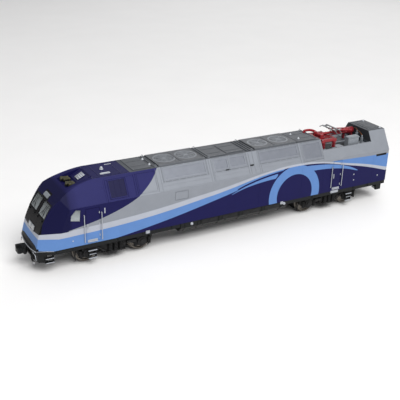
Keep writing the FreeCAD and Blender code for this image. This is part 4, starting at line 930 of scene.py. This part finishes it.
def cab_inside():
    """Driver's desk, seats and bulkhead seen through the panes."""
    desk = Shape("cab_desk")
    desk.prism([(101.5, -11.5, 25.0), (108.5, -11.5, 25.0), (110.2, -11.5, 28.6), (104.2, -11.5, 29.4),
                (101.5, -11.5, 27.6)], (0, 23.0, 0))
    desk.box(104.0, 107.5, -8.6, -4.0, 29.0, 30.6)
    desk.box(104.0, 107.5, 4.0, 8.6, 29.0, 30.6)
    desk.prism([(86.2, -14.0, 17.6), (86.2, 14.0, 17.6), (86.2, 14.0, 36.0), (86.2, 10.6, 42.0),
                (86.2, -10.6, 42.0), (86.2, -14.0, 36.0)], (0.8, 0, 0))
    desk.box(87.0, 87.4, -3.2, 3.2, 24.2, 40.0)
    desk.piece(DESK, bevel=0.3)
    seats = Shape("cab_seats")
    for y in (-6.2, 6.2):
        seats.box(93.0, 98.4, y - 2.5, y + 2.5, 26.2, 27.8)
        seats.prism([(92.2, y - 2.4, 27.4), (93.8, y - 2.4, 27.4), (92.6, y - 2.4, 34.4),
                     (91.3, y - 2.4, 34.4)], (0, 4.8, 0))
        seats.box(94.8, 96.2, y - 0.7, y + 0.7, 24.2, 26.4)
    seats.piece(SEAT, bevel=0.4)


nose_details()
nose_apron()
cab_inside()


# --- doors and body side ---
def side_details():
    handles = Shape("door_handles")
    for x in (91.0, -73.5):
        handles.tube([(x, 16.9, 23.4), (x, 17.35, 23.5), (x, 17.35, 25.2), (x, 16.9, 25.3)], 0.14, 6)
        handles.box(x - 0.35, x + 0.35, 16.85, 17.05, 22.9, 25.8)
    for x in (84.3, -78.8):
        for z in (18.4, 25.0, 31.6):
            handles.lathe((x, 17.02, z - 0.6), (0, 0, 1),
                          [(0, 0.2), (0.05, 0.24), (1.15, 0.24), (1.2, 0.2)], 8)
    handles.mirrored().piece(SILVER_TRIM, bevel=0.03)

    sills = Shape("door_sills")
    for x0, x1 in ((85.7, 91.3), (-78.6, -73.0)):
        sills.box(x0, x1, 16.9, 17.55, 15.3, 15.7)
        sills.box(x0, x1, 16.9, 17.1, 15.7, 16.6)
        for i in range(5):
            x = x0 + 0.5 + i * (x1 - x0 - 1.0) / 4
            sills.box(x - 0.15, x + 0.15, 17.05, 17.5, 15.68, 15.8)
    sills.mirrored().piece(SILVER_TRIM, bevel=0.05)

    doors = Shape("door_panels")
    for x0, x1 in ((84.9, 91.1), (-78.2, -73.4)):
        doors.box(x0, x1, 16.9, 17.03, 17.2, 22.2)
    doors.mirrored()
    doors.piece(PAINT, bevel=0.05)

    marks = Shape("side_plates")
    for x0, x1, z0, z1 in ((80.9, 81.5, 30.3, 33.4), (-90.6, -89.8, 22.4, 23.2), (-90.9, -90.1, 18.5, 19.3),
                           (-111.0, -110.2, 18.4, 19.2), (99.0, 99.8, 17.5, 18.1)):
        marks.box(x0, x1, 16.6, 17.06, z0, z1)
    marks.mirrored().piece(SILVER_TRIM, bevel=0.05)

    vents = Shape("rear_side_vents")
    vents.box(-116.2, -107.6, 16.8, 17.02, 32.3, 33.7)
    for i in range(8):
        vents.box(-115.8 + i, -115.1 + i, 16.95, 17.1, 32.6, 33.4)
    vents.mirrored().piece(RUBBER, slot="grille_dark", bevel=0.04)

    seams = Shape("side_joints")
    for x in (63.2, 14.9, -17.0, -48.4, -65.2, -105.6):
        seams.box(x - 0.1, x + 0.1, 16.85, 17.0, 15.0, BELT_Z - 0.1)
    seams.mirrored().piece(PAINT, bevel=0.03)

    bits = Shape("sill_brackets")
    for x in (73.2, 58.6, 40.5, 22.0, 4.0, -14.0, -31.0, -34.4, -58.6, -92.0, -104.0, 99.0):
        bits.box(x - 0.8, x + 0.8, 15.8, 16.9, 12.4, 14.3)
        bits.lathe((x, 16.8, 13.1), (0, 1, 0), [(0, 0.35), (0.2, 0.35), (0.3, 0.2)], 8)
    bits.mirrored().piece(BLACK, bevel=0.08)

    grey = Shape("sill_junction_boxes")
    for x0, x1 in ((-78.0, -72.2), (-35.2, -33.2), (55.0, 57.4)):
        grey.box(x0, x1, 16.4, 17.3, 12.9, 14.6)
        grey.box(x0 + 0.4, x1 - 0.4, 17.2, 17.42, 13.2, 14.3)
    grey.mirrored().piece(SILVER_TRIM, bevel=0.08)


# section of a tank strap on the left side: down the wall and round the lower corner, as (y, z)
STRAP_PROFILE = ((16.8, 14.1), (17.1, 14.1), (17.1, 11.05), (14.0, 7.95), (13.2, 7.95), (13.2, 8.25),
                 (13.85, 8.25), (16.8, 11.2))


def tank_details():
    straps = Shape("tank_straps")
    for x in (-34.0, -20.0, -4.0, 10.0, 24.0, 32.5):
        for side in (-1, 1):
            outline = [(x - 0.5, y * side, z) for y, z in STRAP_PROFILE]
            straps.prism(outline, (1.0, 0, 0))
            bolt(straps, (x, 17.1 * side, 11.9), (0, side, 0), 0.25, 0.2)
            bolt(straps, (x, 17.1 * side, 13.5), (0, side, 0), 0.25, 0.2)
        straps.box(x - 0.5, x + 0.5, -13.3, 13.3, 7.95, 8.25)
    straps.piece(BLACK, bevel=0.06)

    boxes = Shape("tank_equipment_doors")
    for x0, x1 in ((-32.4, -22.0), (-18.0, -6.0), (-2.0, 8.0), (12.0, 22.0)):
        middle = (x0 + x1) / 2
        boxes.box(x0, x1, 16.8, 17.06, 11.3, 13.9)
        boxes.box(x0 + 0.5, x1 - 0.5, 17.0, 17.18, 11.7, 13.5)
        boxes.tube([(middle - 0.8, 17.1, 12.6), (middle - 0.7, 17.4, 12.6), (middle + 0.7, 17.4, 12.6),
                    (middle + 0.8, 17.1, 12.6)], 0.14, 6)
    boxes.mirrored().piece(TRUCK, slot="black_plastic", bevel=0.1)

    filler = Shape("tank_fillers")
    for x, side in ((28.3, 1), (-36.2, 1), (28.3, -1), (-36.2, -1)):
        filler.lathe((x, 16.9 * side, 12.9), (0, side, 0),
                     [(-0.2, 0.9), (0.1, 0.9), (0.15, 0.7), (0.6, 0.7), (0.7, 0.4)], 14)
    filler.piece(SILVER_TRIM, bevel=0)

    pipes = Shape("underframe_pipes")
    for y, z, x0, x1 in ((10.5, 13.1, -52.0, 52.0), (12.4, 12.5, 37.5, 50.5), (12.4, 12.5, -50.5, -39.5)):
        count = 8
        pipes.tube([(x0 + (x1 - x0) * i / count, y, z) for i in range(count + 1)], 0.4, 8)
    pipes.mirrored().piece(BLACK, bevel=0)

    tanks = Shape("air_reservoirs")
    for x0, x1 in ((37.6, 49.6), (-50.0, -39.8)):
        tanks.lathe((x0, 9.4, 10.6), (1, 0, 0),
                    [(0, 0.3), (0.3, 1.2), (1.0, 1.9), (x1 - x0 - 1.0, 1.9), (x1 - x0 - 0.3, 1.2),
                     (x1 - x0, 0.3)], 18)
        for x in (x0 + 2.4, x1 - 2.4):
            tanks.box(x - 0.4, x + 0.4, 7.3, 11.5, 10.4, 14.8)
    tanks.mirrored().piece(TRUCK, slot="black_plastic", bevel=0.05)


side_details()
tank_details()


# --- ends ---
def hose(shape, start, side, end=1):
    """Hanging brake hose with a coupling head, at the front (end 1) or rear (end -1)."""
    x, y, z = start
    path = []
    for i in range(11):
        share = i / 10
        path.append((end * (x + 2.6 * math.sin(share * 2.2)), y + side * 0.9 * share, z - 6.2 * share))
    shape.tube(path, 0.42, 8)
    return Vector(path[-1])


def end_details():
    hoses = Shape("brake_hoses")
    heads = Shape("hose_couplings")
    for end, x in ((1, 116.4), (-1, 116.2)):
        for y, side in ((5.6, 1), (-5.6, -1), (7.2, 1), (-7.2, -1)):
            tip = hose(hoses, (x, y, 11.8), side, end)
            heads.box(tip.x - 0.5, tip.x + 0.5, tip.y - 0.5, tip.y + 0.5, tip.z - 0.9, tip.z + 0.5)
            heads.lathe((end * (x - 0.5), y, 11.8), (end, 0, 0), [(-0.6, 0.6), (0.8, 0.6), (0.9, 0.45)], 10)
    hoses.piece(RUBBER, bevel=0)
    heads.piece(STEEL, bevel=0.1)

    levers = Shape("uncoupling_levers")
    for end, x in ((1, 118.6), (-1, 118.5)):
        for side in (-1, 1):
            levers.tube([(end * x, 13.2 * side, 9.0), (end * (x + 0.1), 12.4 * side, 11.4),
                         (end * (x + 0.1), 11.6 * side, 11.8), (end * (x + 0.1), 6.4 * side, 11.9),
                         (end * (x + 0.5), 5.2 * side, 12.3)], 0.2, 8)
            levers.box(end * x - 0.7, end * x + 0.3, 9.6 * side - 0.3, 9.6 * side + 0.3, 11.4, 12.4)
    levers.piece(SILVER_TRIM, bevel=0)

    steps = Shape("pilot_step_edges")
    for z in (7.35, 9.75):
        steps.box(109.6, 114.2, 15.3, 15.6, z - 0.25, z + 0.1)
    steps.mirrored().piece(SILVER_TRIM, bevel=0.04)

    door = Shape("end_door")
    rear = REAR_X
    door.box(rear - 0.3, rear + 0.2, -4.1, -3.7, 15.4, 40.6)
    door.box(rear - 0.3, rear + 0.2, 3.7, 4.1, 15.4, 40.6)
    door.box(rear - 0.3, rear + 0.2, -4.1, 4.1, 40.2, 40.6)
    door.box(rear - 0.12, rear + 0.2, -3.7, 3.7, 16.4, 26.6)
    door.box(rear - 0.45, rear, 2.4, 2.8, 24.2, 26.0)
    door.piece(PAINT, bevel=0.08)

    gangway = Shape("end_gangway")
    gangway.box(rear - 0.9, rear, -5.2, 5.2, 14.9, 15.5)
    for i in range(4):
        low = 19.0 + 2.3 * i
        for y0, y1 in ((8.8, 13.2), (-13.2, -8.8)):
            gangway.box(rear - 0.35, rear + 0.1, y0, y1, low, low + 1.4)
    gangway.piece(REAR_BLACK, bevel=0.1)

    lights = Shape("end_marker_lights")
    for side in (-1, 1):
        lights.lathe((rear, 9.0 * side, 33.0), (-1, 0, 0),
                     [(-0.1, 1.0), (0.3, 1.0), (0.4, 0.8), (0.5, 0.78), (0.75, 0.3), (0.8, 0.05)], 18)
    lights.piece(RED_LENS, bevel=0)

    sockets = Shape("end_jumper_sockets")
    for side in (-1, 1):
        for y in (6.6, 8.8):
            sockets.box(rear - 0.7, rear, (y - 0.8) * side - 0.05, (y + 0.8) * side + 0.05, 16.2, 18.2)
            sockets.lathe((rear - 0.6, y * side, 17.2), (-1, 0, 0), [(0, 0.6), (0.3, 0.6), (0.35, 0.4)], 12)
    sockets.piece(BLACK, bevel=0.06)

    window = Shape("end_window_gasket")
    ring = [(-3.6, 27.1), (-3.6, 34.9), (3.6, 34.9), (3.6, 27.1)]
    window.tube(closed_loop(ring, 4, lambda y, z: Vector((rear - 0.02, y, z))), 0.28, 8)
    window.piece(RUBBER, bevel=0)


end_details()


# --- trucks ---
def truck_details(end, front):
    """Brake gear, sand pipes, lifting lugs and cab steps on one truck."""
    middle = TRUCK_X if front else -TRUCK_X
    outer = 1 if front else -1

    def at(x, y, z):
        return Vector((middle + outer * x, y, z))

    def bar(shape, x0, x1, y0, y1, z0, z1):
        ends = sorted((middle + outer * x0, middle + outer * x1))
        shape.box(ends[0], ends[1], y0, y1, z0, z1)

    gear = Shape(end + "_brake_gear")
    for side in (-1, 1):
        for axle in (-HALF_BASE, HALF_BASE):
            inward = -1 if axle > 0 else 1
            shoe_x = axle + inward * 7.15
            gear.tube([at(shoe_x, 8.9 * side, 10.6), at(shoe_x + 0.25 * inward, 8.9 * side, 8.4),
                       at(shoe_x, 8.9 * side, 5.6)], 0.55, 6)
            gear.tube([at(shoe_x, 8.9 * side, 7.6), at(shoe_x, 10.4 * side, 7.6),
                       at(shoe_x, 11.6 * side, 8.0)], 0.35, 6)
            for k in range(6):
                angle = 2 * math.pi * k / 6
                place = at(axle + 2.05 * math.cos(angle), 13.95 * side, AXLE_Z + 2.05 * math.sin(angle))
                bolt(gear, place, (0, side, 0), 0.22, 0.2)
        gear.tube([at(-8.6, 13.6 * side, 10.4), at(-11.8, 13.9 * side, 9.0), at(-12.2, 13.9 * side, 7.0)],
                  0.28, 6)
        gear.tube([at(6.2, 14.0 * side, 11.0), at(9.0, 14.2 * side, 10.6), at(12.2, 13.4 * side, 10.4)],
                  0.28, 6)
        gear.lathe(at(-11.9, 13.6 * side, 8.8), (outer, 0, 0),
                   [(0, 0.5), (0.2, 1.25), (2.4, 1.25), (2.6, 0.9)], 14)
    gear.piece(TRUCK, end + "_truck", "truck_black", 0.05)

    pipes = Shape(end + "_sand_pipes")
    for side in (-1, 1):
        for x, lean in ((21.6, 1), (-21.6, -1)):
            pipes.tube([at(x, 12.6 * side, 10.4), at(x + 0.9 * lean, 12.2 * side, 8.6),
                        at(x + 0.8 * lean, 10.4 * side, 5.0), at(x + 0.2 * lean, 8.9 * side, 1.6)], 0.32, 8)
    pipes.piece(BLACK, end + "_truck", "truck_black", 0)

    steps = Shape(end + "_step_ladders")
    for side in (-1, 1):
        y0, y1 = sorted((15.0 * side, 16.1 * side))
        bar(steps, 12.0, 12.4, y0, y1, 4.9, 9.3)
        bar(steps, 15.9, 16.3, y0, y1, 4.9, 9.3)
        bar(steps, 12.2, 16.1, y0, y1, 4.7, 5.1)
    steps.piece(BLACK, end + "_truck", "truck_black", 0.06)
    edges = Shape(end + "_step_edges")
    for side in (-1, 1):
        y0, y1 = sorted((15.9 * side, 16.35 * side))
        for z in (4.9, 9.4):
            bar(edges, 11.7, 16.6, y0, y1, z - 0.15, z + 0.3)
        bar(edges, 12.2, 16.1, y0, y1, 7.1, 7.4)
    edges.piece(SILVER_TRIM, end + "_truck", "rail_silver", 0.04)


truck_details("front", True)
truck_details("rear", False)


# --- pantograph and high-voltage gear ---
PANTO_PIVOT = Vector((-72.0, 0, 47.0))
PANTO_KNEE = Vector((-96.5, 0, 47.4))
PANTO_HEAD = Vector((-81.6, 0, 49.2))


def coil(shape, start, end, radius, wire, turns):
    """Helical spring between two points."""
    start, end = Vector(start), Vector(end)
    axis = (end - start).normalized()
    side = axis.orthogonal().normalized()
    up = axis.cross(side)
    steps = turns * 10
    path = []
    for i in range(steps + 1):
        angle = 2 * math.pi * turns * i / steps
        offset = side * (radius * math.cos(angle)) + up * (radius * math.sin(angle))
        path.append(start.lerp(end, i / steps) + offset)
    shape.tube(path, wire, 6)


def pantograph_details():
    springs = Shape("pantograph_springs")
    for side in (-1, 1):
        coil(springs, (-79.4, 5.2 * side, 45.2), (-72.6, 5.2 * side, 45.2), 0.55, 0.13, 14)
        springs.tube([(-80.0, 5.2 * side, 45.2), (-79.2, 5.2 * side, 45.2)], 0.25, 8)
        springs.tube([(-72.8, 5.2 * side, 45.2), (-70.0, 5.2 * side, 45.2)], 0.25, 8)
    springs.piece(STEEL, bevel=0)

    bolts = Shape("pantograph_base_bolts")
    for x in (-79.8, -69.9):
        for y in (-7.1, 7.1):
            bolt(bolts, (x, y, 45.9), radius=0.45, height=0.35)
        for y in (-3.2, 3.2):
            bolt(bolts, (x, y, 45.9), radius=0.3, height=0.25)
    bolts.piece(STEEL, bevel=0)

    gussets = Shape("pantograph_base_gussets")
    for x, lean in ((-79.2, 1), (-70.5, -1)):
        for y, side in ((-6.5, 1), (6.5, -1)):
            gussets.prism([(x, y, 44.5), (x + 2.2 * lean, y, 44.5), (x, y + 2.2 * side, 44.5)], (0, 0, 1.2))
    for x in (-79.8, -69.9):
        for y in (-7.1, 7.1):
            gussets.lathe((x, y, 43.9), (0, 0, 1), [(0, 1.15), (0.5, 1.15), (0.6, 0.9)], 14)
    gussets.piece(RED, bevel=0.06)

    arm = Shape("pantograph_arm_stays")
    along = (PANTO_KNEE - PANTO_PIVOT).normalized()
    for share in (0.12, 0.5, 0.86):
        middle = PANTO_PIVOT.lerp(PANTO_KNEE, share)
        arm.lathe(middle, along, [(-0.6, 0.9), (-0.5, 1.05), (0.5, 1.05), (0.6, 0.9)], 14)
    arm.piece(RED, "panto_lower", "panto_red", 0)

    shunts = Shape("pantograph_head_shunts")
    for side in (-1, 1):
        x, z = PANTO_HEAD.x, PANTO_HEAD.z
        shunts.tube([(x - 1.9, 3.0 * side, z + 0.85), (x - 1.2, 3.0 * side, z + 0.2),
                     (x - 0.1, 2.9 * side, z - 0.1), (x + 1.1, 3.0 * side, z + 0.2),
                     (x + 1.9, 3.0 * side, z + 0.85)], 0.12, 6)
    shunts.piece(CABLE, "panto_head", "bronze", 0)

    feet = Shape("insulator_feet")
    for x in (-79.0, -70.7):
        for y in (-7.1, 7.1):
            feet.box(x - 1.3, x + 1.3, y - 1.3, y + 1.3, WELL_FLOOR_Z - 0.05, WELL_FLOOR_Z + 0.35)
            for dx in (-1.0, 1.0):
                bolt(feet, (x + dx, y + 1.0, WELL_FLOOR_Z + 0.3), radius=0.2)
    feet.piece(EQUIPMENT, bevel=0.06)

    floor = Shape("well_floor_plates")
    for x0, x1, y0, y1 in ((-104.0, -97.6, -11.8, -8.0), (-97.0, -85.6, -11.8, -8.2),
                           (-104.0, -97.2, 5.2, 11.8), (-86.6, -81.4, 4.0, 11.8),
                           (-104.2, -66.2, -0.5, 0.5)):
        floor.box(x0, x1, y0, y1, WELL_FLOOR_Z - 0.05, WELL_FLOOR_Z + 0.2)
    floor.piece(EQUIPMENT, bevel=0.08)

    cabinet = Shape("well_cabinet_details")
    for i in range(6):
        cabinet.box(-95.4, -88.2, 11.15, 11.35, 40.5 + 0.75 * i, 40.85 + 0.75 * i)
    cabinet.box(-94.8, -88.8, 7.9, 10.9, 45.8, 46.15)
    for x in (-95.7, -87.9):
        for y in (7.8, 11.0):
            bolt(cabinet, (x, y, 45.9), radius=0.2)
    cabinet.piece(EQUIPMENT, bevel=0.06)

    cable = Shape("well_cables")
    cable.tube([(-89.2, -5.0, 44.6), (-87.6, -5.2, 44.4), (-86.0, -6.6, 44.4), (-84.6, -8.2, 44.5),
                (-84.2, -8.6, 44.2)], 0.22, 8)
    cable.tube([(-103.9, -5.0, 45.2), (-103.8, -2.5, 46.6), (-102.8, 0.6, 47.2), (-101.4, 3.0, 46.9)],
               0.22, 8)
    cable.tube([(-101.4, 3.0, 46.8), (-101.2, 5.8, 46.4), (-101.0, 8.6, 45.2)], 0.2, 8)
    cable.piece(CABLE, bevel=0)


pantograph_details()
